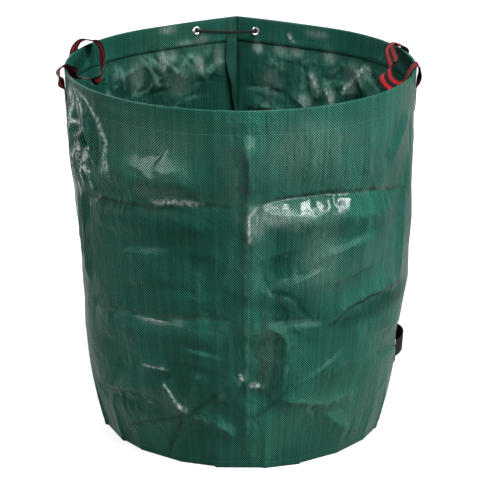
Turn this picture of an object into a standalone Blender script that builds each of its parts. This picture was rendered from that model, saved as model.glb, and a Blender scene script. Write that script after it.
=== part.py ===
"""Garden leaf bag: a round sack of woven plastic cloth that stands open on its own base.

Metres, +Z up. The origin is the centre of the base where it stands on the floor, +Y is the side
with the back seam, and -Y is the front. A place round the bag is its turn, an angle in radians
from the back seam (+Y) towards the right (+X). A depth through the cloth is its inset, counted
inwards from the outer face of the wall.
"""

import math

import bmesh
import bpy
from mathutils import Vector

# Overall size of the standing bag
BAG_HEIGHT = 0.715
RIM_RADIUS = 0.333
BASE_RADIUS = 0.268
SEAM_CORNER = 0.048
SEAM_CORNER_SPREAD = math.radians(32.0)
SEAM_CORNER_RISE = 1.5
BELLY_LEAN = 0.5
BELLY_POWER = 4.0

# Sheet materials and the clearance between pieces that touch
CLOTH = 0.0010
TAPE = 0.0008
GAP = 0.0003
FACET_GAP = 0.0006
HOOP_GAP = 0.0006

# Hem, and the flat hoop that keeps the mouth open
HOOP_THICKNESS = 0.0015
HOOP_HEIGHT = 0.040
HEM_DEPTH = 0.050

# Back seam
SEAM_EDGE = 0.00025
FIN_DEPTH = 0.025
FIN_TOP_DROP = 0.0035
BINDING_COVER = 0.012
BINDING_END_STEP = 0.003

# Base seam
BASE_FLANGE = 0.013
BASE_BINDING_COVER = 0.008

# Eyelets and their tie cord
EYELET_BORE = 0.0048
EYELET_WALL = 0.0005
EYELET_FLANGE = 0.0088
EYELET_CROWN = 0.0015
EYELET_LIP = 0.0015
EYELET_LIP_ROLL = 0.0011
WASHER_THICKNESS = 0.0006
EYELET_CLEARANCE = 0.0003
EYELET_FACET = 0.0105
EYELET_DRILL_REACH = 0.030
LEFT_EYELET_OFFSET = -0.0840
LEFT_EYELET_DROP = 0.0185
RIGHT_EYELET_OFFSET = 0.0400
RIGHT_EYELET_DROP = 0.0255
CORD_DIAMETER = 0.0060
CORD_BEND = 0.0110
CORD_TAIL = 0.0300
KNOT_DIAMETER = 0.0170
KNOT_LENGTH = 0.0140

# Webbing handles
STRAP_WIDTH = 0.034
STRAP_THICKNESS = 0.0015
STRAP_GAP = 0.0003
SEWN_DROP = 0.085
LAP_LENGTH = 0.022
LAP_CLEAR = 0.012
LEG_START = 0.014
LEFT_FRONT_TURN = math.radians(-95.0)
LEFT_BACK_TURN = math.radians(-60.0)
RIGHT_FRONT_TURN = math.radians(95.0)
RIGHT_BACK_TURN = math.radians(65.0)
LOOP_REACH = 0.092
LOOP_CORNER = 0.030
LOOP_DROOP = 0.010

# Short handle low on the right side
BASE_HANDLE_TURN = math.radians(80.0)
BASE_HANDLE_HEIGHT = 0.142
BASE_HANDLE_SPAN = 0.130
BASE_HANDLE_BOW = 0.018
BASE_HANDLE_PATCH = 0.030

# Smoothness of the round shapes
WALL_COLUMNS = 72
WALL_ROWS = 9
CREST_STEPS = 5
TURNED_STEPS = 24
TWIST_STEPS = 16
CORNER_STEPS = 7
BASE_LOOP_COLUMNS = 12
STRAP_COLUMNS = 4
CURVE_STEPS = 24
CORD_SPACING = 0.009
KNOT_SEGMENTS = 14
KNOT_RINGS = 9
SOLVING_ROUNDS = 12

HEM_STACK = CLOTH + HOOP_GAP + HOOP_THICKNESS + HOOP_GAP + CLOTH
CREST = HEM_STACK / 2.0
CREST_CENTRE_Z = BAG_HEIGHT - CREST
BINDING_TOP = BASE_FLANGE + GAP + TAPE
FIN_FOOT = BINDING_TOP + BINDING_END_STEP
FLANGE_INSET = CLOTH + FACET_GAP + TAPE + GAP
STRAP_STACK = STRAP_GAP + STRAP_THICKNESS


def signed_turn(turn):
    """The same turn, brought between minus and plus half a circle."""
    return (turn + math.pi) % (2.0 * math.pi) - math.pi


def wall_radius(turn, height):
    """Distance from the bag's middle line to the outer face of the wall."""
    share = height / BAG_HEIGHT
    belly = BELLY_LEAN * share + (1.0 - BELLY_LEAN) * (1.0 - (1.0 - share) ** BELLY_POWER)
    round_part = BASE_RADIUS + (RIM_RADIUS - BASE_RADIUS) * belly
    nearness = max(0.0, 1.0 - abs(signed_turn(turn)) / SEAM_CORNER_SPREAD)
    return round_part + SEAM_CORNER * max(share, 0.0) ** SEAM_CORNER_RISE * nearness ** 2


def outward(turn, height):
    """Level direction that stands square on the wall and points away from the bag."""
    step = math.copysign(0.001, signed_turn(turn))
    radius = wall_radius(turn, height)
    slope = (wall_radius(turn + step, height) - radius) / step
    radial = Vector((math.sin(turn), math.cos(turn), 0.0))
    along = Vector((math.cos(turn), -math.sin(turn), 0.0))
    return (radial * radius - along * slope).normalized()


def wall_point(turn, height, inset=0.0):
    """A point at a place round the bag, a height and a depth through the cloth."""
    radius = wall_radius(turn, height)
    outer = Vector((radius * math.sin(turn), radius * math.cos(turn), height))
    return outer - outward(turn, height) * inset


def seam_point(side, edge, height, inset=0.0):
    """The wall's point that lies edge away from the seam, on its right or left side."""
    turn = side * edge / RIM_RADIUS
    for _ in range(SOLVING_ROUNDS):
        point = wall_point(turn, height, inset)
        turn = max(0.00001, side * turn + (edge - side * point.x) / RIM_RADIUS) * side
    point.x = side * edge
    return point


def eyelet_turn(offset, drop):
    """Turn at which the outer wall lies offset to the side of the seam."""
    turn = offset / RIM_RADIUS
    for _ in range(SOLVING_ROUNDS):
        turn = math.asin(offset / wall_radius(turn, BAG_HEIGHT - drop))
    return turn


def wall_turns(edge):
    """Turns of the wall's columns, from the right of the seam round to its left.

    Each eyelet gets one flat column of its own, as wide as its flange needs.
    """
    half_facet = EYELET_FACET / RIM_RADIUS
    spacing = 2.0 * math.pi / WALL_COLUMNS
    flats = [eyelet_turn(LEFT_EYELET_OFFSET, LEFT_EYELET_DROP) % (2.0 * math.pi),
             eyelet_turn(RIGHT_EYELET_OFFSET, RIGHT_EYELET_DROP)]
    turns = [edge / RIM_RADIUS, 2.0 * math.pi - edge / RIM_RADIUS]
    for centre in flats:
        turns += [centre - half_facet, centre + half_facet]
    for column in range(1, WALL_COLUMNS):
        turn = column * spacing
        if all(abs(turn - centre) > half_facet + spacing * 0.3 for centre in flats):
            turns.append(turn)
    return sorted(turns)


def material(name, colour, roughness, metallic=0.0):
    """A plain finish for one sub-part."""
    finish = bpy.data.materials.new(name)
    finish.use_nodes = True
    shader = finish.node_tree.nodes["Principled BSDF"]
    shader.inputs["Base Color"].default_value = (*colour, 1.0)
    shader.inputs["Roughness"].default_value = roughness
    shader.inputs["Metallic"].default_value = metallic
    return finish


def clear_scene():
    """Removes whatever the scene holds, so that the bag stands alone in it."""
    for thing in list(bpy.data.objects):
        bpy.data.objects.remove(thing)


def new_collection(name, hidden=False):
    """A collection linked to the scene."""
    collection = bpy.data.collections.new(name)
    collection.hide_render = hidden
    bpy.context.scene.collection.children.link(collection)
    return collection


def mesh_object(name, mesh, collection, finish=None, origin=None):
    """An object for a mesh whose points are in world space, with its own origin."""
    thing = bpy.data.objects.new(name, mesh)
    if origin is not None:
        for vertex in mesh.vertices:
            vertex.co -= origin
        thing.location = origin
    if finish is not None:
        mesh.materials.append(finish)
    collection.objects.link(thing)
    return thing


def smooth(mesh, degrees=35.0):
    """Shades a round piece smooth, with its real edges left sharp."""
    mesh.shade_smooth()
    mesh.set_sharp_from_angle(angle=math.radians(degrees))


def loft(name, sections):
    """Mesh of a solid that runs through closed sections of equally many points.

    A sheet's section lists one face and then the other one backwards. The two halves are split
    the opposite way, so that the faces of a twisted sheet stay parallel.
    """
    work = bmesh.new()
    rings = [[work.verts.new(point) for point in section] for section in sections]
    count = len(rings[0])
    for near, far in zip(rings, rings[1:]):
        for i in range(count):
            j = (i + 1) % count
            if i < count // 2:
                work.faces.new((near[i], near[j], far[j]))
                work.faces.new((near[i], far[j], far[i]))
            else:
                work.faces.new((near[i], near[j], far[i]))
                work.faces.new((near[j], far[j], far[i]))
    work.faces.new(list(reversed(rings[0])))
    work.faces.new(rings[-1])
    bmesh.ops.recalc_face_normals(work, faces=work.faces)
    mesh = bpy.data.meshes.new(name)
    work.to_mesh(mesh)
    work.free()
    smooth(mesh)
    return mesh


def apply_boolean(target, tool, operation):
    """Joins a tool to a piece or cuts it away, and leaves the result as the piece's own mesh."""
    modifier = target.modifiers.new(operation.lower(), "BOOLEAN")
    modifier.operation = operation
    modifier.object = tool
    modifier.solver = "EXACT"
    view = bpy.context.evaluated_depsgraph_get()
    result = bpy.data.meshes.new_from_object(target.evaluated_get(view))
    target.modifiers.remove(modifier)
    old = target.data
    target.data = result
    bpy.data.meshes.remove(old)


def turned(name, profile, collection, finish, steps=TURNED_STEPS):
    """A solid of revolution about its own Z, from a closed profile of (radius, height) points."""
    mesh = bpy.data.meshes.new(name)
    points = [(radius, 0.0, height) for radius, height in profile]
    edges = [(i, (i + 1) % len(points)) for i in range(len(points))]
    mesh.from_pydata(points, edges, [])
    mesh.update()
    thing = mesh_object(name, mesh, collection, finish)
    screw = thing.modifiers.new("turn", "SCREW")
    screw.steps = steps
    screw.render_steps = steps
    screw.use_merge_vertices = True
    screw.merge_threshold = 0.00005
    screw.use_smooth_shade = True
    view = bpy.context.evaluated_depsgraph_get()
    thing.data = bpy.data.meshes.new_from_object(thing.evaluated_get(view))
    thing.modifiers.remove(screw)
    bpy.data.meshes.remove(mesh)
    smooth(thing.data)
    return thing


def crest_arc(radius):
    """(inset, height) points over the rim, outside to inside, at a distance from the crest's middle."""
    points = []
    for step in range(CREST_STEPS + 1):
        angle = math.pi * step / CREST_STEPS
        points.append((CREST - radius * math.cos(angle), CREST_CENTRE_Z + radius * math.sin(angle)))
    return points


def wall_heights():
    """Heights of the wall's rows from the floor to the hem's crest."""
    low = BINDING_TOP
    high = BAG_HEIGHT - HEM_DEPTH
    between = [low + (high - low) * row / WALL_ROWS for row in range(WALL_ROWS + 1)]
    return [0.0, *between, CREST_CENTRE_Z]


def wall_profile():
    """Closed section of the wall cloth: up the outside, over the hoop and down behind the hem."""
    hem_foot = BAG_HEIGHT - HEM_DEPTH
    hoop_foot = CREST_CENTRE_Z - HOOP_HEIGHT
    outer = [(0.0, height) for height in wall_heights()[:-1]]
    outer += crest_arc(CREST)
    outer += [(HEM_STACK, hoop_foot), (CLOTH + GAP + CLOTH, hem_foot)]
    inner = [(CLOTH, height) for height in wall_heights()[:-1]]
    inner += crest_arc(CREST - CLOTH)
    inner += [(HEM_STACK - CLOTH, hoop_foot), (CLOTH + GAP, hem_foot)]
    return outer + list(reversed(inner))


def round_loft(name, profile, turns, edge=None):
    """Loft of an (inset, height) section round the bag, from seam to seam where it has an edge."""
    sections = [[wall_point(turn, height, inset) for inset, height in profile] for turn in turns]
    if edge is not None:
        sections[0] = [seam_point(1.0, edge, height, inset) for inset, height in profile]
        sections[-1] = [seam_point(-1.0, edge, height, inset) for inset, height in profile]
    return loft(name, sections)


def fin_sections(near_x, far_x, outer_inset, inner_inset, top):
    """Sections up the back seam of a plate that stands inwards from the wall."""
    sections = []
    heights = [h for h in wall_heights() if FIN_FOOT < h < top]
    for height in [FIN_FOOT, *heights, top]:
        back = wall_radius(0.0, height)
        sections.append([
            Vector((near_x, back - outer_inset, height)),
            Vector((far_x, back - outer_inset, height)),
            Vector((far_x, back - inner_inset, height)),
            Vector((near_x, back - inner_inset, height)),
        ])
    return sections


def wall_panel(parts, cutters, finish):
    """The woven panel: wrapped round, its two edges turned in as seam fins, its top hemmed."""
    mesh = round_loft("wall_panel", wall_profile(), wall_turns(SEAM_EDGE), SEAM_EDGE)
    panel = mesh_object("wall_panel", mesh, parts, finish)
    top = BAG_HEIGHT - FIN_TOP_DROP
    for side in (-1.0, 1.0):
        near_x = side * GAP / 2.0
        far_x = side * (GAP / 2.0 + CLOTH)
        sections = fin_sections(near_x, far_x, CLOTH / 2.0, FIN_DEPTH, top)
        fin = mesh_object("seam_fin_guide", loft("seam_fin_guide", sections), cutters)
        apply_boolean(panel, fin, "UNION")
        bpy.data.objects.remove(fin)
    return panel


def rim_hoop(parts, finish):
    """The flat stiffening hoop in the hem; its two ends stop on either side of the back seam."""
    outer = CLOTH + HOOP_GAP
    inner = outer + HOOP_THICKNESS
    foot = CREST_CENTRE_Z - HOOP_HEIGHT + HOOP_GAP
    profile = [(outer, foot), (outer, CREST_CENTRE_Z), (inner, CREST_CENTRE_Z), (inner, foot)]
    edge = GAP / 2.0 + CLOTH + FACET_GAP
    mesh = round_loft("rim_hoop", profile, wall_turns(edge), edge)
    return mesh_object("rim_hoop", mesh, parts, finish)


def back_seam_binding(parts, finish):
    """Tape folded over the raw edges of the back seam, inside the bag."""
    inner_face = GAP / 2.0 + CLOTH + GAP
    outer_face = inner_face + TAPE
    top = BAG_HEIGHT - FIN_TOP_DROP
    sections = []
    for section in fin_sections(0.0, 0.0, 0.0, FIN_DEPTH, top):
        tip = section[2].y
        height = section[0].z
        outline = [
            (-outer_face, tip + BINDING_COVER), (-outer_face, tip - GAP - TAPE),
            (outer_face, tip - GAP - TAPE), (outer_face, tip + BINDING_COVER),
            (inner_face, tip + BINDING_COVER), (inner_face, tip - GAP),
            (-inner_face, tip - GAP), (-inner_face, tip + BINDING_COVER),
        ]
        sections.append([Vector((x, y, height)) for x, y in outline])
    return mesh_object("back_seam_binding", loft("back_seam_binding", sections), parts, finish)


def front_radius(height, inset):
    """Radius of a round piece that fits inside the wall at a height."""
    return wall_radius(math.pi, height) - inset


def base_panel(parts, finish):
    """The round base cloth, its edge turned up inside the wall as the seam allowance."""
    foot_in = FLANGE_INSET + CLOTH
    profile = [
        (0.0, CLOTH),
        (front_radius(CLOTH, foot_in), CLOTH),
        (front_radius(BASE_FLANGE, foot_in), BASE_FLANGE),
        (front_radius(BASE_FLANGE, FLANGE_INSET), BASE_FLANGE),
        (front_radius(0.0, FLANGE_INSET), 0.0),
        (0.0, 0.0),
    ]
    return turned("base_panel", profile, parts, finish, WALL_COLUMNS)


def base_seam_binding(parts, finish):
    """Tape folded over the top of the base seam allowance, all the way round."""
    low = BINDING_TOP - BASE_BINDING_COVER
    outer = FLANGE_INSET - GAP - TAPE
    inner = FLANGE_INSET + CLOTH + GAP + TAPE
    profile = [
        (front_radius(BINDING_TOP, inner), BINDING_TOP),
        (front_radius(BINDING_TOP, outer), BINDING_TOP),
        (front_radius(low, outer), low),
        (front_radius(low, outer + TAPE), low),
        (front_radius(BASE_FLANGE + GAP, outer + TAPE), BASE_FLANGE + GAP),
        (front_radius(BASE_FLANGE + GAP, inner - TAPE), BASE_FLANGE + GAP),
        (front_radius(low, inner - TAPE), low),
        (front_radius(low, inner), low),
    ]
    return turned("base_seam_binding", profile, parts, finish, WALL_COLUMNS)


def eyelet_seat(offset, drop):
    """Middle of an eyelet on the hem's inner face, and the direction into the bag."""
    turn = eyelet_turn(offset, drop)
    half_facet = EYELET_FACET / RIM_RADIUS
    low = BAG_HEIGHT - HEM_DEPTH
    corners = [wall_point(turn + side * half_facet, height, HEM_STACK)
               for height in (low, CREST_CENTRE_Z) for side in (-1.0, 1.0)]
    across = corners[1] - corners[0] + corners[3] - corners[2]
    up = corners[2] - corners[0] + corners[3] - corners[1]
    inward = across.cross(up).normalized()
    if inward.y > 0.0:
        inward = -inward
    share = (BAG_HEIGHT - drop - low) / (CREST_CENTRE_Z - low)
    seat = (corners[0] + corners[1]) / 2.0 * (1.0 - share) + (corners[2] + corners[3]) / 2.0 * share
    return seat, inward


def set_on_axis(thing, seat, direction):
    """Puts a turned piece on a point, with its own Z along a direction."""
    thing.rotation_mode = "QUATERNION"
    thing.rotation_quaternion = Vector((0.0, 0.0, 1.0)).rotation_difference(direction)
    thing.location = seat


def eyelet_profile():
    """Closed (radius, height) section of an eyelet: crowned flange, barrel and rolled lip."""
    barrel = EYELET_BORE + EYELET_WALL
    lip_face = -(HEM_STACK + GAP + WASHER_THICKNESS + GAP)
    crown = GAP + EYELET_CROWN
    middle = (EYELET_BORE + EYELET_FLANGE) / 2.0
    return [
        (EYELET_BORE, crown - EYELET_WALL),
        (EYELET_BORE + EYELET_WALL, crown - EYELET_WALL / 4.0),
        (middle, crown),
        (EYELET_FLANGE - EYELET_WALL, crown - EYELET_WALL),
        (EYELET_FLANGE, GAP),
        (barrel, GAP),
        (barrel, lip_face),
        (barrel + EYELET_LIP, lip_face),
        (barrel + EYELET_LIP - EYELET_WALL, lip_face - EYELET_LIP_ROLL * 0.7),
        (barrel, lip_face - EYELET_LIP_ROLL),
        (EYELET_BORE, lip_face - EYELET_LIP_ROLL * 0.7),
    ]


def washer_profile():
    """Closed section of the washer that backs an eyelet on the outside of the bag."""
    near = -(HEM_STACK + GAP)
    far = near - WASHER_THICKNESS
    bore = EYELET_BORE + EYELET_WALL + EYELET_CLEARANCE
    return [
        (bore, near),
        (EYELET_FLANGE, near),
        (EYELET_FLANGE - WASHER_THICKNESS / 2.0, far),
        (bore, far),
    ]


def eyelet_pair(side, offset, drop, panel, hoop, parts, cutters, finish):
    """One eyelet with its washer, and the hole for it through the cloth and the hoop."""
    seat, inward = eyelet_seat(offset, drop)
    reach = EYELET_DRILL_REACH
    radius = EYELET_BORE + EYELET_WALL + EYELET_CLEARANCE
    outline = [(0.0, reach), (radius, reach), (radius, -reach), (0.0, -reach)]
    drill = turned("eyelet_hole_" + side, outline, cutters, None)
    drill.display_type = "WIRE"
    drill.hide_render = True
    set_on_axis(drill, seat, inward)
    bpy.context.view_layer.update()
    for piece in (panel, hoop):
        apply_boolean(piece, drill, "DIFFERENCE")
    eyelet = turned("eyelet_" + side, eyelet_profile(), parts, finish)
    washer = turned("eyelet_washer_" + side, washer_profile(), parts, finish)
    for piece in (eyelet, washer):
        set_on_axis(piece, seat, inward)
    return eyelet, washer


def smooth_route(points, spacing):
    """Evenly spaced points on a smooth curve through the route's own points."""
    padded = [points[0] * 2.0 - points[1], *points, points[-1] * 2.0 - points[-2]]
    fine = []
    for a, b, c, d in zip(padded, padded[1:], padded[2:], padded[3:]):
        for step in range(CURVE_STEPS):
            t = step / CURVE_STEPS
            fine.append(0.5 * (2.0 * b + (c - a) * t + (2.0 * a - 5.0 * b + 4.0 * c - d) * t ** 2
                               + (3.0 * b - a - 3.0 * c + d) * t ** 3))
    fine.append(points[-1].copy())
    length = sum((q - p).length for p, q in zip(fine, fine[1:]))
    count = max(2, round(length / spacing))
    route = [fine[0]]
    walked = 0.0
    for p, q in zip(fine, fine[1:]):
        walked += (q - p).length
        if walked >= length * len(route) / count and len(route) < count:
            route.append(q)
    return [*route, fine[-1]]


def knot_depth():
    """Distance from the hem's inner face to the middle of a knot that bears on an eyelet's lip."""
    lip_end = HEM_STACK + GAP + WASHER_THICKNESS + GAP + EYELET_LIP_ROLL
    ring = 2.0 * (EYELET_BORE + EYELET_WALL) / KNOT_DIAMETER
    return lip_end + GAP + KNOT_LENGTH / 2.0 * math.sqrt(1.0 - ring ** 2)


def tie_cord(parts, cutters, finish):
    """The cord across the back seam, through both eyelets, with a stopper knot behind each."""
    ends = []
    for offset, drop in ((LEFT_EYELET_OFFSET, LEFT_EYELET_DROP),
                         (RIGHT_EYELET_OFFSET, RIGHT_EYELET_DROP)):
        seat, inward = eyelet_seat(offset, drop)
        outside = HEM_STACK + CORD_TAIL
        knot = seat - inward * knot_depth()
        ends.append((seat - inward * outside, seat - inward * HEM_STACK, seat + inward * GAP, inward, knot))
    left, right = ends
    span = (right[2] - left[2]).normalized()
    start = left[2] + left[3] * CORD_BEND + span * CORD_BEND
    finish_point = right[2] + right[3] * CORD_BEND - span * CORD_BEND
    droop = Vector((0.0, 0.0, -CORD_DIAMETER))
    middle = (start + finish_point) / 2.0
    route = [left[0] + droop, left[1], left[2] + left[3] * CORD_BEND / 3.0, start,
             middle, finish_point, right[2] + right[3] * CORD_BEND / 3.0, right[1], right[0] + droop]
    curve = bpy.data.curves.new("tie_cord_route", "CURVE")
    curve.dimensions = "3D"
    curve.bevel_depth = CORD_DIAMETER / 2.0
    curve.bevel_resolution = 2
    curve.use_fill_caps = True
    points = smooth_route(route, CORD_SPACING)
    spline = curve.splines.new("POLY")
    spline.points.add(len(points) - 1)
    for target, point in zip(spline.points, points):
        target.co = (*point, 1.0)
    guide = bpy.data.objects.new("tie_cord_route", curve)
    cutters.objects.link(guide)
    bpy.context.view_layer.update()
    view = bpy.context.evaluated_depsgraph_get()
    mesh = bpy.data.meshes.new_from_object(guide.evaluated_get(view))
    bpy.data.objects.remove(guide)
    work = bmesh.new()
    work.from_mesh(mesh)
    bmesh.ops.remove_doubles(work, verts=work.verts, dist=0.00001)
    work.to_mesh(mesh)
    work.free()
    cord = mesh_object("tie_cord", mesh, parts, finish)
    for end in ends:
        work = bmesh.new()
        bmesh.ops.create_uvsphere(work, u_segments=KNOT_SEGMENTS, v_segments=KNOT_RINGS,
                                  radius=KNOT_DIAMETER / 2.0)
        ball = bpy.data.meshes.new("knot_guide")
        work.to_mesh(ball)
        work.free()
        for vertex in ball.vertices:
            vertex.co.z *= KNOT_LENGTH / KNOT_DIAMETER
        knot = mesh_object("knot_guide", ball, cutters)
        set_on_axis(knot, end[4], end[3])
        bpy.context.view_layer.update()
        apply_boolean(cord, knot, "UNION")
        bpy.data.objects.remove(knot)
    smooth(cord.data, 50.0)
    return cord


def strap_turns(centre, length):
    """Turns across a strip of webbing that lies on the wall round a centre."""
    half = length / 2.0 / RIM_RADIUS
    return [centre - half + 2.0 * half * i / STRAP_COLUMNS for i in range(STRAP_COLUMNS + 1)]


def anchor_profile():
    """Closed section of a handle's sewn end: up the outside, over the crest, and a lap inwards."""
    def path(offset):
        arc = [point for point in crest_arc(CREST + offset) if point[0] <= CREST]
        top = (CREST, BAG_HEIGHT + offset)
        lap = (CREST + LAP_LENGTH, BAG_HEIGHT + offset)
        foot = [(-offset, BAG_HEIGHT - SEWN_DROP), (-offset, BAG_HEIGHT - HEM_DEPTH)]
        return foot + arc + [top, lap]
    return path(STRAP_GAP) + list(reversed(path(STRAP_STACK)))


def hinge_frame(front_turn, back_turn):
    """Hinge of a handle: its origin, the way along the axis, the way inwards and up."""
    front = wall_point(front_turn, CREST_CENTRE_Z, CREST)
    back = wall_point(back_turn, CREST_CENTRE_Z, CREST)
    along = (back - front).normalized()
    up = Vector((0.0, 0.0, 1.0))
    inwards = up.cross(along)
    if inwards.dot(front) > 0.0:
        inwards = -inwards
    return front, (back - front).length, along, inwards, up


def ease(share):
    """A share from 0 to 1 made to start and end gently."""
    return share * share * (3.0 - 2.0 * share)


def loop_route(chord):
    """Middle line of a flopped handle loop as (along, inwards, up, twist) points.

    A leg leaves the rim flat and twists until the webbing stands on its edge, which is how it
    can bend round the corner and run on beside the rim to the other leg.
    """
    lift = CREST + STRAP_STACK + STRAP_GAP + STRAP_THICKNESS / 2.0
    twist_start = LAP_LENGTH + LAP_CLEAR
    twist_length = LOOP_REACH - LOOP_CORNER - twist_start
    leg = [(0.0, LEG_START, lift, 0.0)]
    for step in range(TWIST_STEPS + 1):
        share = step / TWIST_STEPS
        leg.append((0.0, twist_start + twist_length * share, lift - LOOP_DROOP * ease(share),
                    math.pi / 2.0 * ease(share)))
    for step in range(1, CORNER_STEPS + 1):
        angle = math.pi / 2.0 * step / CORNER_STEPS
        leg.append((LOOP_CORNER * (1.0 - math.cos(angle)),
                    LOOP_REACH - LOOP_CORNER * (1.0 - math.sin(angle)), lift - LOOP_DROOP, math.pi / 2.0))
    other = [(chord - along, inwards, up, twist) for along, inwards, up, twist in reversed(leg)]
    return leg + other


def ribbon(name, centres, twists, up):
    """Mesh of a strip of webbing along a middle line; its twist turns it from level to upright."""
    sections = []
    last = len(centres) - 1
    for i, (centre, twist) in enumerate(zip(centres, twists)):
        ahead = (centres[min(i + 1, last)] - centres[max(i - 1, 0)]).normalized()
        level = up.cross(ahead).normalized()
        width = level * math.cos(twist) + up * math.sin(twist)
        face = ahead.cross(width).normalized()
        side = width * STRAP_WIDTH / 2.0
        thick = face * STRAP_THICKNESS / 2.0
        sections.append([centre - side - thick, centre + side - thick,
                         centre + side + thick, centre - side + thick])
    return loft(name, sections)


def rim_handle(side, front_turn, back_turn, parts, finishes):
    """A carrying handle: two sewn ends on the wall and the loop that swings on the rim."""
    for place, turn in (("front", front_turn), ("back", back_turn)):
        name = f"handle_{side}_{place}_end"
        mesh = round_loft(name, anchor_profile(), strap_turns(turn, STRAP_WIDTH))
        mesh_object(name, mesh, parts, finishes["webbing"])
    origin, chord, along, inwards, up = hinge_frame(front_turn, back_turn)
    route = loop_route(chord)
    centres = [origin + along * a + inwards * b + up * c for a, b, c, _ in route]
    name = f"handle_{side}_loop"
    mesh = ribbon(name, centres, [point[3] for point in route], up)
    mesh_object(name, mesh, parts, finishes["webbing"], origin)


def base_handle(parts, finishes):
    """The short handle low on the right side, which swings out and up from the wall."""
    low = BASE_HANDLE_HEIGHT - STRAP_WIDTH / 2.0
    high = BASE_HANDLE_HEIGHT + STRAP_WIDTH / 2.0
    radius = wall_radius(BASE_HANDLE_TURN, BASE_HANDLE_HEIGHT)
    half_span = math.asin(BASE_HANDLE_SPAN / 2.0 / radius)
    patch = BASE_HANDLE_PATCH / radius
    gap = GAP / radius
    rows = [low, high]
    for place, way in (("front", 1.0), ("back", -1.0)):
        start = BASE_HANDLE_TURN + way * (half_span + gap)
        turns = [start + way * patch * i / STRAP_COLUMNS for i in range(STRAP_COLUMNS + 1)]
        profile = [(-FACET_GAP, row) for row in rows]
        profile += [(-FACET_GAP - STRAP_THICKNESS, row) for row in reversed(rows)]
        name = f"base_handle_{place}_end"
        mesh_object(name, round_loft(name, profile, turns), parts, finishes["webbing"])
    sections = []
    for i in range(BASE_LOOP_COLUMNS + 1):
        share = 2.0 * i / BASE_LOOP_COLUMNS - 1.0
        turn = BASE_HANDLE_TURN - half_span * share
        near = FACET_GAP + BASE_HANDLE_BOW * (1.0 - share ** 2)
        far = near + STRAP_THICKNESS
        sections.append([wall_point(turn, low, -near), wall_point(turn, high, -near),
                         wall_point(turn, high, -far), wall_point(turn, low, -far)])
    hinge = sections[0][1].copy()
    mesh_object("base_handle_loop", loft("base_handle_loop", sections), parts, finishes["webbing"], hinge)


def build_bag():
    """Makes every piece of the leaf bag."""
    clear_scene()
    parts = new_collection("leaf_bag")
    cutters = new_collection("leaf_bag_cutters", hidden=True)
    finishes = {
        "cloth": material("woven_cloth", (0.030, 0.140, 0.100), 0.38),
        "base": material("base_cloth", (0.026, 0.125, 0.090), 0.42),
        "tape": material("binding_tape", (0.020, 0.070, 0.055), 0.65),
        "hoop": material("hoop_plastic", (0.050, 0.050, 0.052), 0.45),
        "metal": material("eyelet_metal", (0.780, 0.780, 0.760), 0.22, 1.0),
        "cord": material("cord_braid", (0.020, 0.016, 0.015), 0.80),
        "webbing": material("striped_webbing", (0.300, 0.020, 0.024), 0.75),
    }
    panel = wall_panel(parts, cutters, finishes["cloth"])
    hoop = rim_hoop(parts, finishes["hoop"])
    back_seam_binding(parts, finishes["tape"])
    base_panel(parts, finishes["base"])
    base_seam_binding(parts, finishes["tape"])
    for side, offset, drop in (("left", LEFT_EYELET_OFFSET, LEFT_EYELET_DROP),
                               ("right", RIGHT_EYELET_OFFSET, RIGHT_EYELET_DROP)):
        eyelet_pair(side, offset, drop, panel, hoop, parts, cutters, finishes["metal"])
    tie_cord(parts, cutters, finishes["cord"])
    rim_handle("left", LEFT_FRONT_TURN, LEFT_BACK_TURN, parts, finishes)
    rim_handle("right", RIGHT_FRONT_TURN, RIGHT_BACK_TURN, parts, finishes)
    base_handle(parts, finishes)


build_bag()
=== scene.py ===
"""Looks of the garden leaf bag: a round sack of woven plastic cloth that stands open.

Metres, +Z up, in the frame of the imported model: the origin is the middle of the base on the
floor, +Y is the side with the back seam and -Y is the front. A place round the bag is its turn,
counted from the back seam towards the right (+X). Tables give turns in degrees and heights,
widths and rises in millimetres.
"""

from __future__ import annotations

import logging
import math
from dataclasses import dataclass, field
from enum import Enum

import bmesh
import bpy
import numpy as np
from mathutils import Matrix, Vector

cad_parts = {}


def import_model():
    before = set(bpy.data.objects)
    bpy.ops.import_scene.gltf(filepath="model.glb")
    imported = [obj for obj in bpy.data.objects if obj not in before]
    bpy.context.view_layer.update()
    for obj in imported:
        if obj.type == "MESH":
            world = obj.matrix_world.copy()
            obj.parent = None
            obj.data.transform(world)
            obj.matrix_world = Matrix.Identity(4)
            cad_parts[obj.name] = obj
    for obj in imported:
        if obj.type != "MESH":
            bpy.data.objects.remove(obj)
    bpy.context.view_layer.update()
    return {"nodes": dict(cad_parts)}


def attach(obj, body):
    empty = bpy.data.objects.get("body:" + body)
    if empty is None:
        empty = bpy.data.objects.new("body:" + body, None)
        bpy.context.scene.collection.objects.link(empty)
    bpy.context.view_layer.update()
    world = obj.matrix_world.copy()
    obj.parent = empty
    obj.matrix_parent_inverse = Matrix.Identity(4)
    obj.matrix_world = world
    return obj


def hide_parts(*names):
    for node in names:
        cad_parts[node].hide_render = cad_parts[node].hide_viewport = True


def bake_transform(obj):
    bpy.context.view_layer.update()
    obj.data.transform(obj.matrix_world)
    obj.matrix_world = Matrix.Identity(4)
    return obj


log = logging.getLogger("leaf_bag")

Array = np.ndarray
Thing, Mesh, Material = bpy.types.Object, bpy.types.Mesh, bpy.types.Material
Tree, Node, Socket = bpy.types.NodeTree, bpy.types.Node, bpy.types.NodeSocket
Place = tuple[float, float]
Point = tuple[float, float, float]
Colour = tuple[float, float, float, float]

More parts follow.
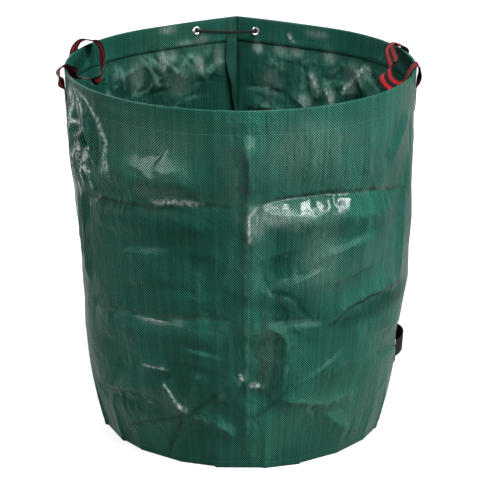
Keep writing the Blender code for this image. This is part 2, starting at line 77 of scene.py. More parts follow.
FULL_TURN = 2.0 * math.pi
MILLIMETRE = 0.001
UP = np.array([0.0, 0.0, 1.0])
CLOTH = 0.0010
TAPE = 0.0008
GAP = 0.0003
HEM_STACK = 0.0047
HEM_DEPTH = 0.050
HOOP_HEIGHT = 0.040
EYELET_HOLE = 0.0056
STRAP_WIDTH = 0.034
STRAP_THICKNESS = 0.0015
STITCH = 0.0036
STITCH_GAP = 0.0009
THREAD = 0.0005
MARK_REACH = 0.0035
WORKED_REACH = 0.030
SEED = 20


def unit(vectors: Array) -> Array:
    """The same vectors with a length of one."""
    return vectors / np.maximum(np.linalg.norm(vectors, axis=-1, keepdims=True), 1e-12)


def ease(share: Array | float) -> Array | float:
    """A share that is held between 0 and 1 and starts and ends gently."""
    held = np.clip(share, 0.0, 1.0)
    return held * held * (3.0 - 2.0 * held)


def wrapped(turn: Array | float) -> Array | float:
    """The same turn between minus and plus half a circle."""
    return (turn + math.pi) % FULL_TURN - math.pi


def walked_along(points: Array) -> Array:
    """Length walked from the first point to each point of a route."""
    return np.concatenate([[0.0], np.cumsum(np.linalg.norm(np.diff(points, axis=0), axis=1))])


# Shape of the sack


@dataclass(frozen=True)
class SackShape:
    """The even shape of the standing sack, before any crease."""

    height: float = 0.715
    rim: float = 0.333
    base: float = 0.268
    corner: float = 0.048
    corner_spread: float = math.radians(32.0)
    corner_rise: float = 1.5
    lean: float = 0.5
    power: float = 4.0

    def radius(self, turn: Array, height: Array) -> Array:
        """Distance from the middle line to the outer face.

        Args:
            turn: Places round the bag, in radians from the back seam.
            height: Heights over the floor.

        Returns:
            One radius for each place.
        """
        share = np.clip(height / self.height, 0.0, 1.1)
        belly = self.lean * share + (1.0 - self.lean) * (1.0 - (1.0 - share) ** self.power)
        nearness = np.clip(1.0 - np.abs(wrapped(turn)) / self.corner_spread, 0.0, 1.0)
        drawn_out = self.corner * share ** self.corner_rise * nearness ** 2
        return self.base + (self.rim - self.base) * belly + drawn_out

    def outward(self, turn: Array, height: Array) -> Array:
        """Level directions that stand square on the wall and point away from the bag.

        Args:
            turn: Places round the bag, in radians.
            height: Heights over the floor.

        Returns:
            A direction for each place.
        """
        step = np.copysign(0.001, wrapped(turn))
        radius = self.radius(turn, height)
        slope = (self.radius(turn + step, height) - radius) / step
        flat = np.zeros_like(radius)
        radial = np.stack([np.sin(turn), np.cos(turn), flat], axis=-1)
        along = np.stack([np.cos(turn), -np.sin(turn), flat], axis=-1)
        return unit(radial * radius[..., None] - along * slope[..., None])


class Form(Enum):
    """How the cloth runs across a crease."""

    FOLD = "sharp line that stands out"
    GROOVE = "sharp line that goes in"
    RIDGE = "soft swelling"
    HOLLOW = "soft dip"
    LEDGE = "one side stands further out than the other"


def laid_flat(places: tuple[Place, ...], turn: Array, scale: float) -> tuple[Array, list[Place]]:
    """A line and places round the bag on the cloth laid flat.

    Args:
        places: The line, as turns in degrees and heights in millimetres.
        turn: Places round the bag, in radians.
        scale: Metres of cloth for one radian of turn.

    Returns:
        Metres from the line's first turn to each place, and the line's points in metres.
    """
    first = math.radians(places[0][0])
    points = [(wrapped(math.radians(t) - first) * scale, h * MILLIMETRE) for t, h in places]
    return wrapped(turn - first) * scale, points


def distances(places: tuple[Place, ...], turn: Array, height: Array,
              scale: float) -> tuple[Array, Array, Array]:
    """How places on the cloth lie to a bent line.

    Args:
        places: The line, as turns in degrees and heights in millimetres.
        turn: Places round the bag, in radians.
        height: Heights over the floor, in metres.
        scale: Metres of cloth for one radian of turn.

    Returns:
        Distance to the line, the side of it, and how far along the line, from 0 to 1.
    """
    across, points = laid_flat(places, turn, scale)
    nearest = np.full(turn.shape, 9.0)
    side, walked = np.zeros(turn.shape), np.zeros(turn.shape)
    lengths = [math.dist(a, b) for a, b in zip(points, points[1:])]
    total, before = sum(lengths), 0.0
    for a, b, length in zip(points, points[1:], lengths):
        way = ((b[0] - a[0]) / length, (b[1] - a[1]) / length)
        along = np.clip((across - a[0]) * way[0] + (height - a[1]) * way[1], 0.0, length)
        off_x = across - a[0] - way[0] * along
        off_z = height - a[1] - way[1] * along
        gap = np.hypot(off_x, off_z)
        closer = gap < nearest
        nearest = np.where(closer, gap, nearest)
        side = np.where(closer, np.sign(way[0] * off_z - way[1] * off_x), side)
        walked = np.where(closer, (before + along) / total, walked)
        before += length
    return nearest, side, walked


@dataclass(frozen=True)
class FoldLine:
    """A line along a hard fold: a pale line is whitened film with a painted glint, a dark line is painted shade in
    the fold.
    """

    strength: float
    width: float
    places: tuple[Place, ...]

    def share(self, turn: Array, height: Array, scale: float) -> Array:
        """How strongly the line marks each place.

        Args:
            turn: Places round the bag, in radians.
            height: Heights over the floor, in metres.
            scale: Metres of cloth for one radian of turn.

        Returns:
            The mark's strength at each place.
        """
        nearest, _, walked = distances(self.places, turn, height, scale)
        ends = ease(np.minimum(walked, 1.0 - walked) / 0.15 + 0.2)
        return self.strength * ends * np.exp(-(nearest / (self.width * MILLIMETRE)) ** 2)


@dataclass(frozen=True)
class Patch:
    """A soft-edged patch of the film that is glossier or less glossy, duller with painted shade, or lit by painted
    sheen.
    """

    turn: float
    height: float
    wide: float
    tall: float
    strength: float

    def share(self, turn: Array, height: Array) -> Array:
        """Strength of the patch at each place.

        Args:
            turn: Places round the bag, in radians.
            height: Heights over the floor, in metres.

        Returns:
            The patch's strength at each place.
        """
        across = np.degrees(wrapped(turn - math.radians(self.turn))) / self.wide
        along = (height / MILLIMETRE - self.height) / self.tall
        return self.strength * np.exp(-(across ** 2 + along ** 2) ** 1.5)


@dataclass(frozen=True)
class Crease:
    """One crease of the cloth along a bent line of places."""

    form: Form
    rise: float
    width: float
    places: tuple[Place, ...]

    def within_reach(self, turn: Array, height: Array, scale: float) -> Array:
        """Which places are near enough to be moved or marked by the crease.

        Args:
            turn: Places round the bag, in radians.
            height: Heights over the floor, in metres.
            scale: Metres of cloth for one radian of turn.

        Returns:
            True or False for each place.
        """
        offset, points = laid_flat(self.places, turn, scale)
        across, levels = zip(*points)
        reach = max(0.075, self.width * 0.0032)
        return ((offset > min(across) - reach) & (offset < max(across) + reach)
                & (height > min(levels) - reach) & (height < max(levels) + reach))

    def relief(self, turn: Array, height: Array,
               scale: float) -> tuple[Array, Array, Array]:
        """How far the crease moves the cloth, and how it marks it.

        Args:
            turn: Places round the bag, in radians.
            height: Heights over the floor, in metres.
            scale: Metres of cloth for one radian of turn.

        Returns:
            Outward shift in metres, the sharp mark and the worked zone round it, both from 0 to 1.
        """
        nearest, side, walked = distances(self.places, turn, height, scale)
        fade = ease(np.minimum(walked, 1.0 - walked) / 0.22 + 0.12)
        width = self.width * MILLIMETRE
        reach = nearest / width
        if self.form in (Form.FOLD, Form.GROOVE):
            shape = 0.68 * np.clip(1.0 - reach, 0.0, 1.0) ** 1.35
            shape += 0.32 * np.clip(1.0 - nearest / min(width, 0.008), 0.0, 1.0)
            mark = np.exp(-(nearest / MARK_REACH) ** 2)
        elif self.form is Form.LEDGE:
            shape = 0.5 * side * np.tanh(reach * 3.5) * np.exp(-(reach / 1.6) ** 2)
            mark = 0.5 * np.exp(-(nearest / 0.004) ** 2)
        else:
            shape = np.exp(-reach ** 2)
            mark = np.zeros(turn.shape)
        sign = -1.0 if self.form in (Form.GROOVE, Form.HOLLOW) else 1.0
        worked = np.exp(-(nearest / WORKED_REACH) ** 2)
        return shape * fade * sign * self.rise * MILLIMETRE, mark * fade, worked * fade


@dataclass
class Wander:
    """How the small creases run: a few bends of a line that starts somewhere on the wall."""

    steps: int
    sway: float
    highest: float

    def line(self, rng: np.random.Generator, start: Place, length: float, lean: float,
             scale: float) -> tuple[Place, ...]:
        """Places along one wandering line.

        Args:
            rng: Source of the scatter.
            start: The first place.
            length: Millimetres along the line.
            lean: Degrees between the line's first way and level.
            scale: Metres of cloth for one radian of turn.

        Returns:
            The line's places.
        """
        turn, height = start
        places = [start]
        for _ in range(self.steps):
            lean += rng.normal(0.0, self.sway)
            turn += math.degrees(length / self.steps * MILLIMETRE * math.cos(math.radians(lean)) / scale)
            height += length / self.steps * math.sin(math.radians(lean))
            places.append((turn, float(np.clip(height, 20.0, self.highest))))
        return tuple(places)


@dataclass(frozen=True)
class CrumpledZone:
    """A part of the wall that was squeezed into many narrow creases."""

    turns: Place
    heights: Place
    count: int
    lengths: Place
    rises: Place
    widths: Place
    lean: float
    scatter: float

    def creases(self, rng: np.random.Generator, scale: float) -> list[Crease]:
        """Narrow bent creases, folds and grooves by turns.

        Args:
            rng: Source of the scatter.
            scale: Metres of cloth for one radian of turn.

        Returns:
            The creases of the zone.
        """
        made = []
        for number in range(self.count):
            start = (rng.uniform(*self.turns), rng.uniform(*self.heights))
            length, lean = rng.uniform(*self.lengths), self.lean + rng.normal(0.0, self.scatter)
            places = Wander(3, 18.0, 700.0).line(rng, start, length, lean, scale)
            form = Form.FOLD if number % 2 else Form.GROOVE
            made.append(Crease(form, rng.uniform(*self.rises), rng.uniform(*self.widths), places))
        return made


def creases_from(rows: tuple, swell: float = 1.0) -> list[Crease]:
    """Creases from rows of form, rise, width and places, each rise times the swell."""
    return [Crease(form, rise * swell, width, tuple(places)) for form, rise, width, *places in rows]


def fold_lines(*rows: tuple) -> tuple[FoldLine, ...]:
    """Fold lines from rows of strength, width and places."""
    return tuple(FoldLine(strength, width, tuple(places)) for strength, width, *places in rows)


def patches(*rows: tuple[float, ...]) -> tuple[Patch, ...]:
    """Patches from rows of turn, height, half width in degrees, half height and strength."""
    return tuple(Patch(*row) for row in rows)


FOLD, GROOVE, RIDGE, HOLLOW, LEDGE = Form
SEEN_SWELL = 1.5
SEEN_CREASES = (
    (FOLD, 9, 62, (180, 720), (179, 623), (179, 545)), (FOLD, 8, 56, (179, 575), (179, 470), (180, 330)),
    (FOLD, 6, 50, (180, 360), (179, 221), (179, 148), (179, 40)),
    (GROOVE, 1.6, 8, (183, 640), (182, 560), (182, 480), (183, 420)),
    (GROOVE, 1.2, 7, (177, 690), (177, 620), (177, 560)),
    (GROOVE, 6, 40, (246, 509), (229, 521), (211, 526), (204, 539), (198, 537), (190, 535), (182, 533)),
    (FOLD, 2, 10, (245, 511), (234, 517), (221, 524), (210, 527), (202, 536), (194, 537), (182, 535)),
    (RIDGE, 6.5, 34, (242, 560), (226, 572), (208, 575), (190, 572)),
    (RIDGE, 4, 34, (244, 470), (226, 484), (208, 494), (188, 494)),
    (GROOVE, 8, 44, (178, 538), (169, 541), (162, 543), (151, 542), (134, 531), (114, 509)),
    (RIDGE, 6, 32, (174, 498), (162, 503), (151, 500), (136, 490), (118, 470)),
    (FOLD, 2.2, 9, (174, 522), (168, 516), (160, 512)), (GROOVE, 1.8, 8, (166, 536), (165, 520), (166, 505)),
    (GROOVE, 1.6, 8, (157, 538), (158, 522), (156, 508)), (GROOVE, 1.6, 8, (149, 538), (149, 524), (147, 510)),
    (FOLD, 2, 8, (177, 540), (178.5, 518), (180, 489), (177, 456)),
    (GROOVE, 1.8, 8, (176, 530), (176.5, 505), (176, 478)), (FOLD, 1.3, 22, (221, 608), (215, 592), (209, 576)),
    (FOLD, 1.1, 20, (208, 578), (204, 592), (199, 606)), (HOLLOW, 2, 40, (212, 632), (207, 612)),
    (FOLD, 5.5, 18, (243, 694), (242, 659), (240, 631), (236, 573)),
    (FOLD, 5, 15, (240, 694), (236, 674), (232, 650), (230, 572), (227, 548)),
    (GROOVE, 5, 15, (238, 696), (237, 655), (234, 600), (233, 556)),
    (FOLD, 5.5, 17, (250, 672), (250, 618), (243, 593), (246, 512)),
    (GROOVE, 5, 15, (247, 666), (246.5, 625), (240, 600), (242, 530)), (FOLD, 3.4, 12, (241, 551), (239, 511)),
    (FOLD, 5, 16, (254, 692), (251, 636), (248, 581), (250, 522)),
    (GROOVE, 4, 13, (257, 690), (255, 640), (253, 570)),
    (FOLD, 4, 14, (260, 670), (259, 620), (256, 560), (256, 500)),
    (FOLD, 5, 24, (248, 512), (249, 384), (248, 322)), (GROOVE, 3.4, 18, (243, 505), (244, 400), (244, 320)),
    (FOLD, 3, 18, (255, 500), (256, 430), (255, 350)), (FOLD, 3, 18, (110, 652), (117, 616), (124, 572)),
    (GROOVE, 3, 18, (116, 660), (122, 625), (129, 590)), (FOLD, 4, 22, (107, 580), (112, 516), (112, 315)),
    (GROOVE, 3, 18, (104, 645), (106, 560), (107, 470)), (FOLD, 2.6, 20, (133, 660), (136, 600), (135, 556)),
    (FOLD, 2.4, 18, (158, 690), (158, 640), (157, 560)), (GROOVE, 2, 16, (147, 680), (148, 630), (146, 560)),
    (GROOVE, 5.5, 40, (250, 281), (222, 298), (213, 299), (194, 310), (187, 309), (180, 300)),
    (RIDGE, 4, 30, (246, 262), (222, 270), (200, 278), (184, 272)),
    (FOLD, 3, 14, (248, 288), (240, 277), (230, 264)), (GROOVE, 5, 30, (172, 306), (161, 301), (150, 292)),
    (FOLD, 5, 26, (150, 289), (141, 319), (130, 327), (114, 324)),
    (GROOVE, 5, 26, (147, 280), (139, 304), (130, 309), (117, 306)),
    (FOLD, 3.4, 15, (173, 301), (167, 280), (165, 257), (165, 210), (167, 165), (172, 128)),
    (HOLLOW, 6, 30, (174, 280), (175, 200), (176, 130)),
    (GROOVE, 3, 18, (175, 403), (171, 361), (164, 348), (156, 295)), (HOLLOW, 6.5, 50, (166, 440), (163, 380)),
    (RIDGE, 6, 60, (140, 450), (137, 370)), (RIDGE, 5, 60, (216, 440), (214, 360)),
    (HOLLOW, 4, 40, (196, 440), (197, 350)), (FOLD, 2, 9, (182, 205), (179, 186)),
    (FOLD, 2.6, 10, (178, 182), (175, 176), (172, 166)), (FOLD, 2.4, 12, (220, 200), (212, 201), (206, 199)),
    (FOLD, 5, 22, (203, 108), (206, 135), (211, 172)), (FOLD, 4, 20, (203, 110), (199, 160), (196, 205)),
    (GROOVE, 4, 20, (204, 112), (201, 150), (203, 190)), (FOLD, 3.4, 18, (190, 140), (186, 165), (180, 188)),
    (FOLD, 4, 20, (216, 86), (226, 64), (234, 44)),
    (GROOVE, 6.5, 30, (254, 93), (236, 112), (219, 126), (207, 116)),
    (FOLD, 5, 24, (252, 112), (236, 130), (220, 143)), (GROOVE, 4, 22, (202, 104), (207, 60), (211, 18)),
    (FOLD, 4, 20, (201, 108), (192, 96), (182, 66)), (FOLD, 4, 20, (168, 145), (155, 131), (147, 122)),
    (FOLD, 3.4, 18, (135, 129), (151, 118)), (GROOVE, 4, 20, (155, 125), (154, 110), (151, 92)),
    (FOLD, 4, 22, (148, 102), (142, 75), (134, 48)), (FOLD, 2.6, 10, (133, 43), (127, 32)),
    (HOLLOW, 7, 60, (112, 230), (114, 170)), (RIDGE, 4, 40, (196, 250), (198, 210)),
    (HOLLOW, 4, 40, (228, 230), (230, 170)), (RIDGE, 4, 50, (150, 210), (146, 170)),
)
INSIDE_CREASES = (
    (GROOVE, 7, 24, (26, 625), (29, 597), (30, 560)), (FOLD, 4, 20, (22, 640), (24, 600), (25, 560)),
    (GROOVE, 6, 20, (32, 600), (35, 570), (38, 535)), (GROOVE, 6, 24, (42, 655), (48, 622), (55, 585)),
    (FOLD, 4, 22, (50, 660), (55, 620), (60, 590)), (GROOVE, 8, 30, (2, 533), (8, 540), (17, 536), (24, 518)),
    (FOLD, 6, 26, (3, 570), (10, 574), (18, 566)), (GROOVE, 5, 20, (19, 575), (27, 545), (31, 515)),
    (GROOVE, 6, 24, (-31, 668), (-25, 639), (-18, 596)), (FOLD, 4, 20, (-21, 660), (-18, 640), (-14, 610)),
    (GROOVE, 6, 22, (-37, 664), (-31, 621), (-28, 575)), (GROOVE, 4, 16, (-17, 655), (-13, 625), (-10, 585)),
    (LEDGE, 4, 26, (-40, 640), (-30, 648), (-14, 640)), (FOLD, 3, 20, (12, 655), (11, 565)),
    (GROOVE, 4, 22, (-46, 664), (-43, 589), (-43, 495)), (GROOVE, 4, 22, (-56, 675), (-52, 609), (-50, 515)),
    (FOLD, 3, 20, (-50, 665), (-47, 600), (-46, 520)), (RIDGE, 5, 40, (-20, 480), (-24, 380)),
    (HOLLOW, 5, 50, (40, 470), (38, 380)), (GROOVE, 5, 40, (-60, 320), (-30, 306), (-4, 300)),
    (GROOVE, 5, 40, (4, 300), (32, 308), (62, 318)), (FOLD, 4, 36, (44, 500), (43, 400), (44, 320)),
    (FOLD, 4, 36, (-44, 500), (-43, 400), (-44, 320)), (GROOVE, 5, 36, (88, 540), (64, 534), (40, 528)),
    (GROOVE, 5, 36, (-86, 520), (-64, 530), (-44, 528)), (RIDGE, 5, 40, (66, 400), (64, 300)),
    (FOLD, 4, 24, (30, 140), (18, 90), (10, 40)), (FOLD, 4, 24, (-24, 150), (-34, 96), (-30, 50)),
    (GROOVE, 5, 26, (-70, 130), (-52, 112), (-30, 118)), (FOLD, 4, 24, (52, 120), (66, 84), (70, 40)),
)
# Whitened film along hard folds, with painted glints on it.
WHITENED_GLINT_LINES = fold_lines(
    (0.75, 2.6, (249, 702), (240, 692), (232, 659), (229, 620), (229, 573), (230, 560)),
    (1, 3.2, (250, 704), (243, 668), (241, 623), (241, 590), (236, 575)),
    (1.2, 4.2, (256, 648), (247, 634), (241, 608), (244, 562), (239, 520)),
    (0.7, 7, (252, 702), (257, 640), (259, 581)), (1, 4.4, (250, 690), (253, 620), (256, 511)),
    (0.9, 3.4, (248, 600), (247, 560), (246, 509)), (0.9, 5, (252, 520), (250, 444), (250, 415)),
    (0.45, 3.4, (228, 590), (227, 551)), (0.8, 6, (259, 600), (262, 540), (263, 470), (261, 400)),
    (0.9, 3.4, (248, 690), (247, 640), (248, 584), (247, 515)), (0.4, 5, (212, 528), (204, 536), (194, 537)),
    (0.4, 2.2, (175.5, 536), (178.5, 517), (178.5, 466)), (0.55, 2, (218, 199), (213, 199), (208, 200)),
    (0.6, 1.8, (210, 171), (207, 151), (204, 118)), (0.7, 4, (205, 128), (203, 121), (201, 116)),
    (0.8, 4, (181.5, 201), (181, 195), (180, 188)), (0.8, 4, (178, 177), (176, 175), (174, 173)),
    (0.6, 3, (27, 618), (29, 596), (31, 580)), (0.6, 3, (33, 590), (36, 569), (37, 554)),
    (0.6, 3, (18, 694), (19, 684), (20, 676)), (0.5, 3, (50, 655), (46, 625), (41, 600), (40, 580)),
)
# Painted shade along hard folds: the cloth's colour is darkened there.
PAINTED_SHADE_LINES = fold_lines(
    (0.55, 3.4, (247, 498), (234, 511), (221, 519), (210, 520), (198, 533), (190, 535), (181, 534)),
    (0.6, 3.4, (177, 540), (165, 545), (156, 544), (149, 543), (134, 534), (110, 506)),
    (0.45, 4, (180, 640), (179, 576), (179, 519), (178, 470), (179, 353)),
    (0.55, 3.6, (152, 281), (149, 285), (140, 309), (120, 324), (104, 318)),
    (0.5, 3.6, (258, 93), (227, 126), (207, 122), (202, 104)), (0.5, 3.4, (233, 50), (215, 83), (202, 106)),
    (0.5, 3.6, (204, 99), (207, 56), (212, 16)), (0.45, 4, (202, 104), (192, 147), (182, 187)),
    (0.4, 4.5, (180, 118), (176, 112), (168, 141), (164, 171)), (0.35, 3.4, (178, 281), (166, 284), (152, 281)),
    (0.55, 3, (-35, 664), (-30, 624), (-28, 590)), (0.5, 3, (-28, 602), (-26, 629), (-20, 634)),
    (0.45, 3, (43, 604), (47, 580)), (0.4, 3, (24, 640), (26, 610), (27, 580)),
)
# Patches where the film is duller and painted shade darkens the colour; a patch with a negative strength paints light
# instead.
DULL_SHADE_PATCHES = patches(
    (168.5, 400, 4.6, 80, 0.36), (163, 340, 8, 34, 0.32), (138, 284, 8, 12, 0.36), (125, 293, 9, 17, 0.4),
    (111, 297, 9, 17, 0.36), (170, 200, 5, 60, 0.2), (223, 100, 16, 16, 0.22), (213, 496, 30, 22, 0.14),
    (200, 470, 14, 60, 0.08), (-40, 590, 36, 100, 0.4), (-31, 600, 5, 36, 0.2), (-44, 600, 5, 40, 0.16),
    (97, 450, 9, 190, 0.14), (196, 44, 60, 60, -0.16), (-40, 700, 52, 24, 0.22), (40, 700, 52, 24, 0.14),
    (9, 600, 6, 60, 0.12), (40, 640, 4, 16, 0.14), (20, 620, 5, 26, 0.1),
)
# Patches of painted sheen on the cloth.
PAINTED_SHEEN_PATCHES = patches(
    (-27, 645, 1.8, 20, 0.32), (-23, 652, 2.1, 12, 0.2), (-13, 627, 1.6, 18, 0.32), (-6, 638, 1.3, 22, 0.2),
    (-18, 674, 2.9, 7, 0.2), (-12, 675, 2.1, 12, 0.23), (-25, 706, 3.2, 8, 0.23), (-21, 600, 4.8, 30, 0.09),
    (-38, 620, 3.2, 30, 0.11), (7, 657, 1.4, 12, 0.47), (15, 656, 2.4, 12, 0.26), (21, 655, 2.4, 10, 0.29),
    (34, 656, 2.4, 16, 0.31), (28, 600, 1.3, 16, 0.39), (35, 572, 1.8, 18, 0.34), (25, 557, 2.6, 16, 0.31),
    (44, 622, 2.6, 28, 0.22), (51, 642, 2.1, 14, 0.26), (29, 699, 4, 8, 0.22), (12, 590, 4, 30, 0.1),
    (169, 514, 6, 20, 0.31), (176, 500, 3, 30, 0.2), (161, 505, 6, 24, 0.14), (153, 440, 7, 80, 0.09),
    (214, 600, 4, 24, 0.04), (207, 586, 4, 18, 0.06), (200, 604, 4, 20, 0.04), (210, 646, 13, 40, 0.03),
    (222, 694, 9, 10, 0.04), (160, 640, 14, 50, 0.05), (172, 240, 4, 70, 0.07),
)
PLAIN_SHINE = 0.20
SHINES = patches(
    (209, 640, 18, 62, 1), (205, 548, 12, 16, 1.1), (246, 590, 16, 130, -0.14), (169, 518, 10, 26, 1.8),
    (140, 518, 26, 20, 1), (160, 630, 24, 80, 0.9), (124, 610, 20, 100, 0.5), (172, 430, 9, 90, 0.8),
    (184, 600, 4, 90, 1), (148, 400, 24, 60, 0.5), (256, 400, 8, 130, 0.35), (110, 320, 16, 60, 0.4),
    (215, 110, 24, 45, 0.5), (150, 110, 24, 45, 0.5), (200, 300, 20, 14, 0.6), (40, 600, 50, 70, 1),
    (-40, 600, 50, 70, 0.8), (30, 330, 40, 90, 0.5), (-50, 300, 40, 90, 0.5), (145, 455, 10, 28, -0.6),
    (75, 480, 20, 90, 0.6), (-75, 480, 20, 90, 0.6),
)
ZONES = tuple(CrumpledZone(*row) for row in (
    ((236, 262), (500, 640), 20, (60, 150), (1.4, 2.8), (9, 14), 90, 9),
    ((-62, -8), (500, 640), 46, (14, 60), (1.8, 3.8), (5, 9), 80, 40),
    ((8, 62), (500, 640), 46, (14, 60), (1.8, 3.8), (5, 9), 80, 40),
    ((112, 168), (490, 528), 18, (18, 40), (0.9, 1.8), (8, 12), 90, 10),
    ((180, 236), (60, 130), 12, (20, 60), (2, 3.6), (7, 12), 30, 50),
))
WAVES = ((0.0016, 3, 0.7, 4), (0.0016, 5, 2.1, -9), (0.0012, 8, 1.3, 13), (0.0009, 13, 0.4, -21),
         (0.0010, 2, 0.9, -17))


@dataclass
class CreasedSack:
    """The sack's cloth with its creases, slack and its base drawn into corners."""

    shape: SackShape = field(default_factory=SackShape)
    scale: float = 0.318
    sewn_height: float = 0.6690
    small_creases: int = 110
    left_sides: tuple[Place, ...] = (
        (0.0, 0.0), (0.056, 0.002), (0.117, 0.002), (0.179, 0.002), (0.24, 0.0), (0.301, -0.001),
        (0.362, -0.005), (0.424, -0.006), (0.485, -0.0065), (0.546, 0.001), (0.64, 0.0))
    right_sides: tuple[Place, ...] = (
        (0.0, 0.004), (0.056, 0.011), (0.117, 0.010), (0.179, 0.005), (0.24, 0.009), (0.301, 0.013),
        (0.362, 0.007), (0.424, 0.007), (0.485, 0.003), (0.546, 0.003), (0.64, 0.0))
    base_corners: tuple[Place, ...] = (
        (0.0, 0.262), (22.0, 0.268), (41.0, 0.2655), (60.0, 0.270), (84.0, 0.2735), (107.1, 0.2690),
        (121.2, 0.2680), (137.6, 0.2665), (156.5, 0.2695), (172.1, 0.2755), (191.5, 0.2630),
        (207.2, 0.2640), (228.3, 0.2600), (240.0, 0.2600), (258.7, 0.2690), (280.0, 0.2720),
        (300.0, 0.2670), (321.0, 0.2690), (341.0, 0.2650), (360.0, 0.262))
    creases: list[Crease] = field(default_factory=list)

    def __post_init__(self) -> None:
        """Lays out the creases that are seen and the small ones between them."""
        rng = np.random.default_rng(SEED)
        self.creases = creases_from(SEEN_CREASES, SEEN_SWELL) + creases_from(INSIDE_CREASES)
        for zone in ZONES:
            self.creases += zone.creases(rng, self.scale)
        for _ in range(self.small_creases):
            start = (rng.uniform(0.0, 360.0), rng.uniform(40.0, 650.0))
            length = rng.uniform(35.0, 130.0)
            lean = rng.choice([0.0, 90.0, rng.uniform(0.0, 180.0)]) + rng.normal(0.0, 14.0)
            form = Form.FOLD if rng.random() < 0.5 else Form.GROOVE
            places = Wander(2, 16.0, 655.0).line(rng, start, length, lean, self.scale)
            self.creases.append(Crease(form, rng.uniform(0.4, 1.7), rng.uniform(7.0, 20.0), places))

    def base_shift(self, turn: Array) -> Array:
        """How far the bottom edge stands outside its even round, between straight-sided corners.

        Args:
            turn: Places round the bag, in radians.

        Returns:
            Metres for each place.
        """
        degrees = np.degrees(turn) % 360.0
        shift = np.zeros(turn.shape)
        for (low, near), (high, far) in zip(self.base_corners, self.base_corners[1:]):
            inside = (degrees >= low) & (degrees < high)
            a, b = np.sin(np.radians(degrees - low)), np.sin(np.radians(high - degrees))
            doubled = near * far * math.sin(math.radians(high - low))
            chords = [doubled / np.maximum(one * a + other * b, 1e-9) for one, other in ((near, far), (far, near))]
            shift = np.where(inside, 0.5 * sum(chords) - self.shape.base, shift)
        return shift

    def slack(self, turn: Array, height: Array) -> Array:
        """The slow swelling and sinking of the slack wall, held round by the hoop at the rim.

        Args:
            turn: Places round the bag, in radians.
            height: Heights over the floor.

        Returns:
            Outward shift in metres for each place.
        """
        low = 1.0 - ease((height - 0.56) / 0.12)
        shift = sum(size * np.sin(count * turn + start + rise * height) for size, count, start, rise in WAVES)
        shift = shift * low * ease(height / 0.12)
        for table, middle in ((self.left_sides, math.radians(-91.0)), (self.right_sides, math.radians(91.0))):
            off = wrapped(turn - middle)
            lobe = np.where(np.abs(off) < math.radians(56.0), np.clip(np.cos(off * 1.6), 0.0, 1.0) ** 1.5, 0.0)
            shift = shift + np.interp(height, *zip(*table)) * lobe
        return shift + self.base_shift(turn) * (1.0 - ease(height / 0.15))

    def relief(self, turn: Array, height: Array) -> tuple[Array, Array, Array]:
        """Outward shift of the cloth and how strongly it is marked by creases.

        Args:
            turn: Places round the bag, in radians.
            height: Heights over the floor, at most the bag's height.

        Returns:
            Shift in metres, sharp mark and worked zone from 0 to 1, one of each for each place.
        """
        turn, height = np.broadcast_arrays(np.asarray(turn, float), np.asarray(height, float))
        shift, mark, worked = (np.zeros(turn.shape) for _ in range(3))
        for crease in self.creases:
            near = crease.within_reach(turn, height, self.scale)
            if not near.any():
                continue
            moved, marked, zone = crease.relief(turn[near], height[near], self.scale)
            shift[near] += moved
            mark[near] = np.maximum(mark[near], marked * min(1.0, crease.rise / 4.0))
            worked[near] = np.maximum(worked[near], zone * min(1.0, crease.rise / 4.5))
        hem = 1.0 - 0.86 * ease((height - 0.640) / 0.040)
        foot = ease((height - 0.004) / 0.03)
        seam = ease((np.abs(wrapped(turn)) * self.scale - 0.004) / 0.03)
        pucker = 0.0007 * np.exp(-((height - 0.0125) / 0.0030) ** 2)
        pucker = pucker + 0.0004 * np.exp(-((height - self.sewn_height) / 0.0030) ** 2)
        ripple = 1.0 + 0.6 * np.sin(turn * 230.0) * np.sin(turn * 61.0)
        shift = shift * hem * foot * seam + self.slack(turn, height) - pucker * ripple
        return shift, mark * hem * foot, worked * foot

    def points(self, turn: Array, height: Array, inset: Array | float = 0.0,
               shift: Array | None = None) -> Array:
        """Points at a depth through the creased cloth.

        Args:
            turn: Places round the bag, in radians.
            height: Heights over the floor.
            inset: Depths inwards from the outer face.
            shift: Outward shifts, when they are known already.

        Returns:
            An array of points, x, y and z last.
        """
        turn, height = np.broadcast_arrays(np.asarray(turn, float), np.asarray(height, float))
        if shift is None:
            shift = self.relief(turn, np.minimum(height, self.shape.height))[0]
        radius = self.shape.radius(turn, height)
        place = np.stack([radius * np.sin(turn), radius * np.cos(turn), height], axis=-1)
        return place + self.shape.outward(turn, height) * (shift - inset)[..., None]


# Meshes


def mesh_from(name: str, points: Array, faces: Array | list) -> Mesh:
    """A smooth mesh from points and faces.

    Args:
        name: The mesh's name.
        points: Points, x, y and z last.
        faces: Point numbers of each face.

    Returns:
        The mesh.
    """
    mesh = bpy.data.meshes.new(name)
    mesh.from_pydata(points.reshape(-1, 3).tolist(), [], faces.tolist() if isinstance(faces, Array) else faces)
    mesh.update()
    mesh.shade_smooth()
    return mesh


def lofted(rows: int, columns: int, round_rows: bool, round_columns: bool) -> Array:
    """Four-sided faces between neighbours of a grid of points.

    Args:
        rows: Number of rows.
        columns: Number of points in each row.
        round_rows: Whether the last row joins the first.
        round_columns: Whether the last point of each row joins its first.

    Returns:
        Faces as rows of four point numbers.
    """
    row = np.arange(rows if round_rows else rows - 1)
    column = np.arange(columns if round_columns else columns - 1)
    row, column = np.meshgrid(row, column, indexing="ij")
    below = (row + 1) % rows
    beside = (column + 1) % columns
    quads = [row * columns + column, row * columns + beside, below * columns + beside, below * columns + column]
    return np.stack(quads, axis=-1).reshape(-1, 4)


